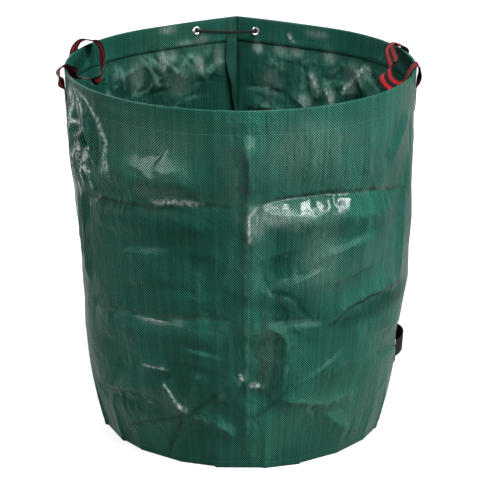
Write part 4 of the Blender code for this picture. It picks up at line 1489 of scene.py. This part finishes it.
@dataclass
class BackSeam:
    """The seam allowance inside the back, its binding tape and its sewing."""

    sack: CreasedSack
    finishes: FinishSet
    depth: float = 0.0245
    foot: float = 0.0171
    top: float = 0.7115
    rows: int = 90
    columns: int = 12
    cover: float = 0.012
    wall_gap: float = 0.0006

    def lean(self, height: float) -> float:
        """Angle of the allowance from standing straight inwards, towards the left wall.

        Args:
            height: Height over the floor.

        Returns:
            The angle in radians.
        """
        flat = float(ease((height - 0.575) / 0.06))
        loose = 0.20 * math.sin(height * 21.0 + 0.6) + 0.10 * math.sin(height * 47.0)
        return math.radians(63.0) * flat + (loose + math.radians(16.0)) * (1.0 - flat)

    def line(self, height: float, shares: Array) -> tuple[Array, Array]:
        """Middle line of the allowance at one height and the directions square to it.

        Args:
            height: Height over the floor.
            shares: Places along its depth, from 0 at the wall to 1 at the edge.

        Returns:
            Level points, and level directions away from the left wall.
        """
        place, level = np.array(0.0), np.array(height)
        back = float(self.sack.shape.radius(place, level) + self.sack.relief(place, level)[0])
        lengths = shares * self.depth
        bend = ease(lengths / (0.0030 + 0.0037 * ease((height - 0.655) / 0.012))) * self.lean(height)
        steps = np.diff(lengths, prepend=0.0)
        x = np.cumsum(-np.sin(bend) * steps)
        y = back - self.wall_gap - np.cumsum(np.cos(bend) * steps)
        points = np.stack([x, y, np.full(len(x), height)], axis=-1)
        return points, np.stack([np.cos(bend), -np.sin(bend), np.zeros(len(x))], axis=-1)

    def build(self) -> list[Thing]:
        """Makes the allowance, its binding and its two rows of stitches.

        Returns:
            The three pieces.
        """
        half = CLOTH + GAP / 2.0
        inner, outer = half + GAP, half + GAP + TAPE
        heights = np.linspace(self.foot, self.top, self.rows)
        shares = np.linspace(0.0, 1.0, self.columns)
        bound = shares * self.depth >= self.depth - self.cover
        sewn_at = int(np.argmax(bound)) + 1
        allowance, tape, row = [], [], []
        for height in heights:
            line, normal = self.line(float(height), shares)
            allowance.append([*(line + normal * half), *(line - normal * half)[::-1]])
            ahead, last = unit(line[-1] - line[-2]), normal[-1] * 0.8
            tip, cap = line[-1] + ahead * (GAP + TAPE), line[-1] + ahead * GAP
            points, normals = line[bound], normal[bound]
            tape.append([*(points + normals * outer), tip + last * outer, tip - last * outer,
                         *(points - normals * outer)[::-1], *(points - normals * inner), cap - last * inner,
                         cap + last * inner, *(points + normals * inner)[::-1]])
            row.append((line[sewn_at], normal[sewn_at]))
        depths = np.concatenate([shares, shares[::-1]]) * self.depth
        places = np.stack(np.broadcast_arrays(depths[None, :], heights[:, None]), axis=-1)
        route, away = (np.array(values) for values in zip(*row))
        return [piece("seam_allowance", swept("seam_allowance", np.array(allowance), places, 40.0),
                      self.finishes.inner),
                piece("seam_binding", swept("seam_binding", np.array(tape), None, 40.0), self.finishes.tape,
                      replaces=("back_seam_binding",)),
                sewn("seam_stitches", [(route + away * outer * way, away * way) for way in (1.0, -1.0)],
                     self.finishes.thread)]


@dataclass
class BaseCloth:
    """The round base cloth, its turned-up edge, the tape over it and the sewing."""

    sack: CreasedSack
    finishes: FinishSet
    flange_inset: float = 0.0027
    flange: float = 0.013
    cover: float = 0.008
    columns: int = 240
    outer_row: float = 0.0125
    inner_row: float = 0.0105
    sharp: float = 50.0

    def ring(self, height: float, inset: float) -> Array:
        """Points round the inside of the wall, without the seam's corner.

        Args:
            height: Height over the floor.
            inset: Depth inwards from the wall's outer face.

        Returns:
            One point for each column.
        """
        turn = np.linspace(0.0, FULL_TURN, self.columns, endpoint=False)
        level = np.full(self.columns, height)
        radius = self.sack.shape.radius(np.full(self.columns, math.pi), level)
        radius = radius + self.sack.base_shift(turn) * (1.0 - ease(level / 0.15)) - inset
        return np.stack([radius * np.sin(turn), radius * np.cos(turn), level], axis=-1)

    @staticmethod
    def slack(points: Array) -> Array:
        """How far the floor cloth lies off the floor, with a cross where it was folded.

        Args:
            points: Points of the base, x and y first.

        Returns:
            Metres for each point.
        """
        x, y = points[..., 0], points[..., 1]
        wave = 0.5 + 0.5 * np.sin(19.0 * x + 5.0 * np.sin(11.0 * y)) * np.sin(16.0 * y + 3.0 * np.sin(13.0 * x))
        cross = np.exp(-(x / 0.006) ** 2) + np.exp(-((y - 0.02) / 0.006) ** 2)
        return (0.0022 * wave + 0.0016 * cross) * ease((1.0 - np.hypot(x, y) / 0.26) / 0.16)

    def cloth(self) -> Mesh:
        """The round cloth with its edge turned up inside the wall.

        Returns:
            The mesh.
        """
        foot = self.flange_inset + CLOTH
        shares = np.linspace(0.0, 1.0, 34)[1:, None, None]
        under = self.ring(0.0, foot + 0.001)[None, :, :] * shares
        under[..., 2] = self.slack(under)
        top = under + UP * CLOTH
        bends = (0.004, 0.0085, self.flange)
        flange = [self.ring(height, foot) for height in bends]
        flange += [self.ring(height, self.flange_inset) for height in (*bends[::-1], 0.0004)]
        rings = np.concatenate([top, np.array(flange), under[::-1]])
        middle = float(self.slack(np.zeros(2)))
        points = np.concatenate([rings.reshape(-1, 3), [[0.0, 0.0, CLOTH + middle], [0.0, 0.0, middle]]])
        last = (len(rings) - 1) * self.columns
        faces = [list(face) for face in lofted(len(rings), self.columns, False, True)]
        for i, j in zip(range(self.columns), [*range(1, self.columns), 0]):
            faces += [[len(points) - 2, j, i], [len(points) - 1, last + i, last + j]]
        return finished(mesh_from("base_cloth", points, faces), points[:, :2], self.sharp)

    def binding(self, outer: float, inner: float) -> Mesh:
        """The tape folded over the turned-up edge.

        Args:
            outer: Depth of its face at the wall.
            inner: Depth of its inner face.

        Returns:
            The mesh.
        """
        top = self.flange + GAP + TAPE
        low = top - self.cover
        profile = ((top, inner, top), (top, outer, top), (low, outer, low), (low, outer + TAPE, low),
                   (self.flange, outer + TAPE, self.flange + GAP), (self.flange, inner - TAPE, self.flange + GAP),
                   (low, inner - TAPE, low), (low, inner, low))
        rings = np.array([self.ring(level, inset) for level, inset, _ in profile])
        rings[..., 2] = np.array([height for _, _, height in profile])[:, None]
        mesh = mesh_from("base_binding", rings, lofted(len(profile), self.columns, True, True))
        return finished(mesh, None, self.sharp)

    def build(self) -> list[Thing]:
        """Makes the base cloth, its binding and the stitches outside and inside.

        Returns:
            The three pieces.
        """
        outer = self.flange_inset - GAP - TAPE
        inner = self.flange_inset + CLOTH + GAP + TAPE
        turn = np.linspace(0.01, FULL_TURN - 0.01, 900)
        high, low = np.full(turn.shape, self.outer_row), np.full(turn.shape, self.inner_row)
        closed = self.ring(self.inner_row, inner)[[*range(self.columns), 0]]
        even = np.linspace(0.0, FULL_TURN, self.columns + 1)
        inside = np.stack([np.interp(turn, even, column) for column in closed.T], axis=-1)
        rows = [(self.sack.points(turn, high), self.sack.shape.outward(turn, high)),
                (inside, -self.sack.shape.outward(turn, low))]
        return [piece("base_cloth", self.cloth(), self.finishes.base, replaces=("base_panel",)),
                piece("base_binding", self.binding(outer, inner), self.finishes.tape,
                      replaces=("base_seam_binding",)),
                sewn("base_stitches", rows, self.finishes.thread)]


@dataclass
class RimHoop:
    """The flat hoop inside the hem, open at the back seam."""

    sack: CreasedSack
    finishes: FinishSet
    outer: float = 0.0016
    inner: float = 0.0031
    foot: float = 0.67325
    top: float = 0.71265
    edge: float = 0.00175
    rounding: float = 0.0004

    def build(self) -> Thing:
        """Makes the hoop with rounded edges.

        Returns:
            The piece.
        """
        margin = self.edge / self.sack.shape.rim
        middle = (self.outer + self.inner) / 2.0
        foot, top = self.foot + self.rounding, self.top - self.rounding
        insets, levels = np.array([(self.outer, foot), (self.outer, top), (middle, self.top),
                                   (self.inner, top), (self.inner, foot), (middle, self.foot)]).T
        turn, level = np.meshgrid(np.linspace(margin, FULL_TURN - margin, 300), levels, indexing="ij")
        points = self.sack.points(turn, level, np.broadcast_to(insets, turn.shape))
        mesh = bored(swept("hoop", points), eyelet_seats(self.sack), EYELET_HOLE)
        mesh.set_sharp_from_angle(angle=math.radians(35.0))
        return piece("hoop", mesh, self.finishes.hoop, replaces=("rim_hoop",))


@dataclass
class HemSewing:
    """The two rows of stitches that hold the hem, one on each face."""

    sack: CreasedSack
    finishes: FinishSet

    def build(self) -> Thing:
        """Makes the stitches outside and inside.

        Returns:
            The piece.
        """
        turn = np.linspace(0.012, FULL_TURN - 0.012, 1100)
        level = np.full(turn.shape, self.sack.sewn_height)
        away = self.sack.shape.outward(turn, level)
        low = self.sack.shape.height - HEM_DEPTH
        hoop_foot = self.sack.shape.height - HEM_STACK / 2.0 - HOOP_HEIGHT
        share = (self.sack.sewn_height - low) / (hoop_foot - low)
        thin = 2.0 * CLOTH + GAP
        inset = np.full(turn.shape, thin + (HEM_STACK - thin) * share)
        rows = [(self.sack.points(turn, level), away), (self.sack.points(turn, level, inset), -away)]
        return sewn("hem_stitches", rows, self.finishes.thread)


@dataclass
class EyeletSeat:
    """Where an eyelet sits: on the hem's inner face, looking into the bag."""

    middle: Array
    inward: Array


def eyelet_seat(sack: CreasedSack, offset: float, drop: float) -> EyeletSeat:
    """Middle of an eyelet on the hem's inner face and its direction into the bag.

    Args:
        sack: The cloth.
        offset: Distance to the right of the back seam, negative to the left.
        drop: Distance below the rim.

    Returns:
        The seat.
    """
    shape = sack.shape
    level = shape.height - drop
    turn = offset / shape.rim
    for _ in range(12):
        turn = math.asin(offset / float(shape.radius(np.array(turn), np.array(level))))
    half = 0.0105 / shape.rim
    low, high = shape.height - HEM_DEPTH, shape.height - HEM_STACK / 2.0
    places, heights = np.meshgrid([turn - half, turn + half], [low, high])
    radius = shape.radius(places, heights)
    corners = np.stack([radius * np.sin(places), radius * np.cos(places), heights], axis=-1)
    (a, b), (c, d) = corners - shape.outward(places, heights) * HEM_STACK
    inward = unit(np.cross(b - a + d - c, c - a + d - b))
    share = (level - low) / (high - low)
    middle = (a + b) / 2.0 * (1.0 - share) + (c + d) / 2.0 * share
    return EyeletSeat(middle, inward * -np.sign(inward[1]))


def eyelet_seats(sack: CreasedSack) -> list[EyeletSeat]:
    """The left and the right eyelet's seat."""
    return [eyelet_seat(sack, -0.0840, 0.0185), eyelet_seat(sack, 0.0400, 0.0255)]


@dataclass
class TieCord:
    """The cord between the eyelets, with a stopper knot and a short tail behind each."""

    sack: CreasedSack
    finishes: FinishSet
    diameter: float = 0.0060
    bend: float = 0.0110
    tail: float = 0.0300
    sag: float = 0.0012
    knot_size: float = 0.00205
    knot_depth: float = 0.0129
    fray: tuple[float, ...] = (1.12, 1.10, 1.05)

    def knot_mesh(self, seat: EyeletSeat) -> Mesh:
        """An overhand knot: the cord wound into a small trefoil that bears on the eyelet.

        Args:
            seat: The eyelet's seat.

        Returns:
            The mesh.
        """
        turns = np.linspace(0.0, FULL_TURN, 90)
        flat = np.stack([np.sin(turns) + 2.0 * np.sin(2.0 * turns), np.cos(turns) - 2.0 * np.cos(2.0 * turns),
                         -np.sin(3.0 * turns) * 1.35], axis=-1) * self.knot_size
        turn = Vector(UP).rotation_difference(Vector(seat.inward)).to_matrix()
        route = flat @ np.array(turn).T + seat.middle - seat.inward * self.knot_depth
        return tube("knot", route, self.diameter / 2.0 * 0.86, 12)

    def build(self) -> Thing:
        """Makes the cord and its two knots.

        Returns:
            The cord.
        """
        left, right = eyelet_seats(self.sack)
        span = unit(right.middle - left.middle)
        outside = HEM_STACK + self.tail
        droop = -UP * self.diameter
        halves = []
        for seat, way in ((left, span), (right, -span)):
            lie = [seat.middle + seat.inward * depth
                   for depth in (-outside, -HEM_STACK, GAP + self.bend / 3.0, GAP + self.bend)]
            halves.append([lie[0] + droop, *lie[1:3], lie[3] + way * self.bend])
        middle = (halves[0][-1] + halves[1][-1]) / 2.0 - UP * self.sag
        line = smooth_line(np.array([*halves[0], middle, *halves[1][::-1]]), 180)
        radius = np.full(len(line), self.diameter / 2.0)
        radius[:3] *= self.fray
        radius[-3:] *= self.fray[::-1]
        cord = piece("tie_cord_braided", tube("cord", line, radius, 16), self.finishes.cord,
                     replaces=("tie_cord",))
        knots = piece("tie_cord_knots", joined("tie_cord_knots", [self.knot_mesh(left), self.knot_mesh(right)]),
                      self.finishes.cord)
        return cord


@dataclass
class RimHandle:
    """One strap of striped webbing: two sewn ends on the wall and the loop thrown inwards.

    Each station of the loop is a point in the middle of the strap and the way its width runs.
    """

    sack: CreasedSack
    finishes: FinishSet
    side: str
    turns: Place
    hinge: Point
    inwards: Point
    stations: tuple[tuple[float, ...], ...]
    patch: Place = (0.632, 0.676)
    bend: Place = (0.002, 0.032)
    box: Place = (6, 22)
    box_edge: float = 0.0035
    samples: int = 230
    columns: int = 13

    def sewn_rows(self, turn: float, across: Array) -> list[list[float]]:
        """Stations of a sewn end on the wall, from the bottom up.

        Args:
            turn: Middle of the end round the bag, in degrees.
            across: Width direction of the loop next to this end.

        Returns:
            Points with their width directions.
        """
        rows = []
        for height in np.linspace(*self.patch, 4):
            place, level = np.array(math.radians(turn)), np.array(height)
            away = self.sack.shape.outward(place, level)
            shift = float(self.sack.relief(place, level)[0])
            off = 0.0005 + STRAP_THICKNESS / 2.0 + max(0.0, -shift) * 0.2
            along = np.cross(UP, away)
            rows.append([*(self.sack.points(place, level) + away * off), *(along * np.sign(np.dot(along, across)))])
        return rows

    def strap(self) -> tuple[Array, Array, Array]:
        """The whole strap as a line.

        Returns:
            Its middle line, width directions and face directions.
        """
        loop = [[*row[:3], *unit(np.array(row[3:]))] for row in self.stations]
        first, last = (self.sewn_rows(turn, row[3:]) for turn, row in zip(self.turns, (loop[0], loop[-1])))
        line = smooth_line(np.array([*first, *loop, *last[::-1]]), self.samples)
        middle = line[:, :3]
        ahead = unit(np.gradient(middle, axis=0))
        across = unit(line[:, 3:] - ahead * np.sum(line[:, 3:] * ahead, axis=1)[:, None])
        return middle, across, np.cross(ahead, across)

    def box_rows(self, middle: Array, across: Array, face: Array) -> list[tuple[Array, Array]]:
        """The stitches of one sewn end: a box with a cross in it.

        Args:
            middle: Middle line of the end.
            across: Width directions.
            face: Face directions.

        Returns:
            A route and its outward directions for each row.
        """
        away = face * np.sign(np.sum(face * unit(middle * (1.0, 1.0, 0.0)), axis=1))[:, None]
        top = middle + away * (STRAP_THICKNESS / 2.0)
        reach = STRAP_WIDTH / 2.0 - self.box_edge
        corners = [top[at] + across[at] * reach * side for at, side in ((0, -1.0), (0, 1.0), (-1, 1.0), (-1, -1.0))]
        share = np.linspace(0.0, 1.0, 16)[:, None]
        routes = [corners[a] * (1.0 - share) + corners[b] * share
                  for a, b in ((0, 1), (1, 2), (2, 3), (3, 0), (0, 2), (1, 3))]
        return [(route, np.broadcast_to(away[0], route.shape)) for route in routes]

    def build(self) -> list[Thing]:
        """Makes the strap and its box stitches, and bends the strap over the rim.

        Returns:
            The strap and its sewing.
        """
        middle, across, face = self.strap()
        shares = np.linspace(-0.5, 0.5, self.columns)
        round_edge = np.sqrt(np.clip(1.0 - (np.abs(shares) * 2.0) ** 12, 0.0, 1.0)) * 0.5 + 0.5
        flat = middle[:, None, :] + across[:, None, :] * (shares * STRAP_WIDTH)[None, :, None]
        lift = face[:, None, :] * (round_edge * STRAP_THICKNESS / 2.0)[None, :, None]
        name = f"handle_{self.side}_strap"
        mesh = strap_mesh(name, flat + lift, flat - lift, (shares + 0.5) * STRAP_WIDTH, walked_along(middle))
        nodes = tuple(f"handle_{self.side}_{part}" for part in ("front_end", "back_end", "loop"))
        strap = piece(name, mesh, self.finishes.webbing, body="", replaces=nodes)
        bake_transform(strap)
        low, high = self.box
        rows = []
        for part in (slice(low, high), slice(len(middle) - 1 - high, len(middle) - 1 - low)):
            rows += self.box_rows(middle[part], across[part], face[part])
        return [strap, sewn(f"handle_{self.side}_sewing", rows, self.finishes.dark_thread)]


@dataclass
class BaseHandle:
    """The short strap low on the right side, bowed out between its two sewn ends."""

    sack: CreasedSack
    finishes: FinishSet
    turn: float = math.radians(80.0)
    height: float = 0.142
    span: float = 0.130
    bow: float = 0.020
    bend: float = 0.017
    patch: float = 0.030
    off: float = 0.0006
    stitch_edge: float = 0.004

    def patch_rows(self, turns: Array) -> list[tuple[Array, Array]]:
        """The stitches of one sewn end: a box near its edges.

        Args:
            turns: Turns of the end's rows.

        Returns:
            A route and its outward directions for each row.
        """
        low, high = (self.height + way * (STRAP_WIDTH / 2.0 - self.stitch_edge) for way in (-1.0, 1.0))
        upright = [(np.full(16, turns[0] + (turns[-1] - turns[0]) * share), np.linspace(low, high, 16))
                   for share in (0.15, 0.85)]
        level = [(np.linspace(turns[1], turns[-2], 16), np.full(16, height)) for height in (low, high)]
        depth = np.full(16, -self.off - STRAP_THICKNESS)
        return [(self.sack.points(*row, depth), self.sack.shape.outward(*row)) for row in (*upright, *level)]

    def build(self) -> list[Thing]:
        """Makes the two ends and the loop, with stitches on the ends.

        Returns:
            The three straps and their sewing.
        """
        radius = float(self.sack.shape.radius(np.array(self.turn), np.array(self.height)))
        half = math.asin(self.span / 2.0 / radius)
        first, last = half + GAP / radius, half + (GAP + self.patch) / radius
        across = np.linspace(0.0, STRAP_WIDTH, 11)
        made, rows = [], []
        for place, begin, end, count, bow in (("front", first, last, 12, 0.0), ("back", -first, -last, 12, 0.0),
                                              ("loop", -half, half, 64, self.bow)):
            turns = self.turn + np.linspace(begin, end, count)
            off = self.off + bow * np.clip(1.0 - ((turns - self.turn) / half) ** 2, 0.0, 1.0)
            turn, level = np.meshgrid(turns, self.height - STRAP_WIDTH / 2.0 + across, indexing="ij")
            near, far = (self.sack.points(turn, level, -np.broadcast_to((off + thick)[:, None], turn.shape))
                         for thick in (0.0, STRAP_THICKNESS))
            mesh = strap_mesh(f"base_strap_{place}", near, far, across, (turns - turns[0]) * radius)
            is_loop = place == "loop"
            node = "base_handle_loop" if is_loop else f"base_handle_{place}_end"
            strap = piece(f"base_strap_{place}", mesh, self.finishes.all_dark_webbing, body="" if is_loop else "bag",
                          replaces=(node,))
            made.append(strap)
            if is_loop:
                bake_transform(strap)
            else:
                rows += self.patch_rows(turns)
        return [*made, sewn("base_strap_sewing", rows, self.finishes.dark_thread)]


LEFT_STATIONS = (
    (-0.3385, -0.029, 0.688, 0.35, 1, 0), (-0.3435, -0.029, 0.702, -0.27, 0.93, -0.25),
    (-0.3385, -0.0285, 0.714, -0.2, 0.93, -0.3), (-0.329, -0.0285, 0.718, -0.05, 0.85, -0.5),
    (-0.321, -0.0285, 0.712, 0.05, 0.55, -0.83), (-0.315, -0.0288, 0.706, 0, 0.5, -0.87),
    (-0.3085, -0.03, 0.7, 0, 0.85, -0.52), (-0.299, -0.0335, 0.697, 0, 0.97, -0.25),
    (-0.284, -0.035, 0.696, 0, 0.97, -0.25), (-0.272, -0.032, 0.696, -0.3, 0.8, -0.5),
    (-0.265, -0.02, 0.696, -0.25, 0.25, -0.93), (-0.2615, 0.01, 0.697, -0.22, 0, -0.97),
    (-0.2605, 0.045, 0.699, -0.22, 0, -0.97), (-0.262, 0.08, 0.702, -0.22, 0, -0.97),
    (-0.2655, 0.108, 0.707, -0.2, 0.2, -0.95), (-0.271, 0.129, 0.715, -0.15, 0.75, -0.65),
    (-0.28, 0.14, 0.722, 0, 0.97, -0.25), (-0.292, 0.143, 0.726, 0, 0.98, -0.2),
    (-0.305, 0.138, 0.7245, 0.15, 0.95, -0.28), (-0.316, 0.129, 0.716, 0.35, 0.88, -0.3),
    (-0.32, 0.127, 0.702, 0.45, 0.88, -0.1), (-0.311, 0.142, 0.688, 0.47, 0.88, -0.05),
)
RIGHT_STATIONS = (
    (0.3352, -0.029, 0.688, 0.1, -1, 0), (0.3378, -0.03, 0.702, 0.1, -1, 0), (0.334, -0.033, 0.718, 0, -1, 0),
    (0.3245, -0.035, 0.716, 0.05, -1, 0), (0.315, -0.038, 0.702, -0.15, -0.95, -0.25),
    (0.306, -0.041, 0.685, -0.35, -0.75, -0.6), (0.295, -0.04, 0.678, -0.55, -0.45, -0.75),
    (0.282, -0.034, 0.682, -0.7, -0.35, -0.65), (0.274, -0.025, 0.692, -0.78, -0.32, -0.52),
    (0.277, -0.008, 0.701, -0.65, 0.05, -0.7), (0.29, 0.01, 0.703, -0.52, 0.05, -0.85),
    (0.293, 0.035, 0.705, -0.5, 0, -0.86), (0.2915, 0.06, 0.708, -0.5, 0, -0.86),
    (0.29, 0.082, 0.712, -0.5, 0.15, -0.85), (0.2905, 0.101, 0.717, -0.5, 0.65, -0.55),
    (0.2985, 0.113, 0.72, -0.42, 0.9, -0.05), (0.31, 0.1185, 0.72, -0.4, 0.9, 0),
    (0.3205, 0.123, 0.713, -0.38, 0.92, 0), (0.32, 0.126, 0.7, -0.38, 0.92, 0),
    (0.3165, 0.129, 0.688, -0.38, 0.92, 0),
)


@dataclass
class Eyelets:
    """The two eyelets and their washers, kept from the frame and given a worn metal finish."""

    finishes: FinishSet

    def build(self, nodes: dict[str, Thing]) -> None:
        """Dresses the kept nodes of the frame.

        Args:
            nodes: The frame's objects by name.
        """
        for name in ("eyelet_left", "eyelet_right", "eyelet_washer_left", "eyelet_washer_right"):
            for holder in nodes[name].material_slots:
                holder.material = self.finishes.metal
            log.info("%s: kept and dressed", name)


@dataclass(frozen=True)
class Lamp:
    """A soft lamp of the studio, turned towards a height on the bag's middle line."""

    name: str
    place: Point
    size: Place
    power: float
    aim: float = 0.35
    is_card: bool = False

    def build(self) -> None:
        """Adds the lamp; a card shows only in gloss."""
        data = bpy.data.lights.new(self.name, "AREA")
        data.shape = "RECTANGLE"
        data.size, data.size_y = self.size
        data.energy = self.power
        thing = bpy.data.objects.new(self.name, data)
        thing.location = self.place
        thing.visible_diffuse = not self.is_card
        look = Vector((0.0, 0.0, self.aim)) - Vector(self.place)
        thing.rotation_euler = look.to_track_quat("-Z", "Y").to_euler()
        bpy.context.scene.collection.objects.link(thing)


LAMPS = (
    Lamp("right", (2.9, -1.7, 1.7), (0.9, 0.9), 120.0),
    Lamp("left", (-3.2, -1.1, 1.8), (0.7, 0.7), 46.0),
    Lamp("front", (0.9, -4.6, 2.3), (0.9, 0.9), 26.0),
    Lamp("top", (0.5, -1.15, 3.2), (1.0, 1.0), 140.0),
    Lamp("back", (-0.6, 3.2, 2.2), (1.0, 1.0), 60.0),
    Lamp("card_right", (2.3, -2.7, 0.95), (2.6, 1.0), 150.0, 0.45, True),
    Lamp("card_left", (-2.9, -1.9, 0.95), (1.6, 1.2), 60.0, 0.45, True),
    Lamp("card_top", (0.1, -1.9, 2.6), (1.6, 1.0), 60.0, 0.45, True),
    Lamp("card_behind", (-2.3, 1.9, 0.9), (0.7, 1.2), 70.0, 0.45, True),
)


@dataclass
class Studio:
    """Camera, floor, lamps and world."""

    distance: float = 5.0
    elevation: float = math.radians(18.63)
    azimuth: float = math.radians(-1.2)
    aim: float = 0.3567
    focal: float = 2584.0
    image: tuple[int, int] = (480, 479)
    principal: Place = (240.5, 242.9)
    sensor: float = 36.0
    floor_reach: float = 9.0
    floor_drop: float = 0.0006
    white: Colour = (1.0, 1.0, 1.0, 1.0)

    def camera(self) -> None:
        """Places the camera at the picture's angle and frame."""
        wide = self.image[0]
        data = bpy.data.cameras.new("camera")
        data.sensor_width = self.sensor
        data.lens = self.focal * self.sensor / wide
        data.shift_x = -(self.principal[0] - wide / 2.0) / wide
        data.shift_y = (self.principal[1] - self.image[1] / 2.0) / wide
        thing = bpy.data.objects.new("camera", data)
        away = Vector((math.sin(self.azimuth) * math.cos(self.elevation),
                       -math.cos(self.azimuth) * math.cos(self.elevation), math.sin(self.elevation)))
        thing.location = Vector((0.0, 0.0, self.aim)) + away * self.distance
        thing.rotation_euler = away.to_track_quat("Z", "Y").to_euler()
        bpy.context.scene.collection.objects.link(thing)
        bpy.context.scene.camera = thing

    @staticmethod
    def seen_directly(g: Graph) -> Socket:
        """1 for rays from the camera, a mirror or glass, and 0 for scattered light.

        Args:
            g: The material's graph.

        Returns:
            The mask.
        """
        path = g.node("LightPath")
        either = g.math("MAXIMUM", path.outputs["Is Camera Ray"], path.outputs["Is Glossy Ray"])
        return g.math("MAXIMUM", either, path.outputs["Is Transmission Ray"])

    def floor(self) -> None:
        """A wide pale floor that keeps the bag's shadow."""
        corners = np.array([(x, y, 0.0) for x, y in ((-1.0, -1.0), (1.0, -1.0), (1.0, 1.0), (-1.0, 1.0))])
        mesh = mesh_from("floor", corners * self.floor_reach, [[0, 1, 2, 3]])
        material = bpy.data.materials.new("pale_floor")
        material.use_nodes = True
        g = Graph(material.node_tree)
        shader = material.node_tree.nodes["Principled BSDF"]
        for socket, value in (("Base Color", (0.32, 0.32, 0.32, 1.0)), ("Roughness", 0.9),
                              ("Specular IOR Level", 0.0), ("Emission Color", self.white)):
            shader.inputs[socket].default_value = value
        g.feed(shader, Emission_Strength=g.times(self.seen_directly(g), 0.84))
        mesh.materials.append(material)
        thing = bpy.data.objects.new("floor", mesh)
        thing.location.z = -self.floor_drop
        bpy.context.scene.collection.objects.link(thing)

    def world(self) -> None:
        """A white surround."""
        world = bpy.data.worlds.new("studio")
        world.use_nodes = True
        bpy.context.scene.world = world
        back = world.node_tree.nodes["Background"]
        back.inputs["Color"].default_value = self.white
        back.inputs["Strength"].default_value = 0.20

    def build(self) -> None:
        """Sets up the whole studio."""
        bpy.context.scene.view_settings.view_transform = "Standard"
        self.camera()
        self.floor()
        for lamp in LAMPS:
            lamp.build()
        self.world()


def main() -> None:
    """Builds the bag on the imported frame."""
    logging.basicConfig(level=logging.INFO, format="%(name)s: %(message)s")
    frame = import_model()
    Studio().build()
    finishes = FinishSet()
    sack = CreasedSack()
    wall = WallCloth(sack, finishes).build()
    seam = BackSeam(sack, finishes).build()
    base, _, _ = BaseCloth(sack, finishes).build()
    RimHoop(sack, finishes).build()
    hem = HemSewing(sack, finishes).build()
    Eyelets(finishes).build(frame["nodes"])
    TieCord(sack, finishes).build()
    RimHandle(sack, finishes, "left", (-95.0, -61.5), (-0.329285, -0.028809, 0.712650),
              (0.976296, -0.216440, 0.0), LEFT_STATIONS).build()
    RimHandle(sack, finishes, "right", (95.0, 66.5), (0.329285, -0.028809, 0.712650),
              (-0.984808, -0.173648, 0.0), RIGHT_STATIONS).build()
    BaseHandle(sack, finishes).build()


if __name__ == "__main__":
    main()
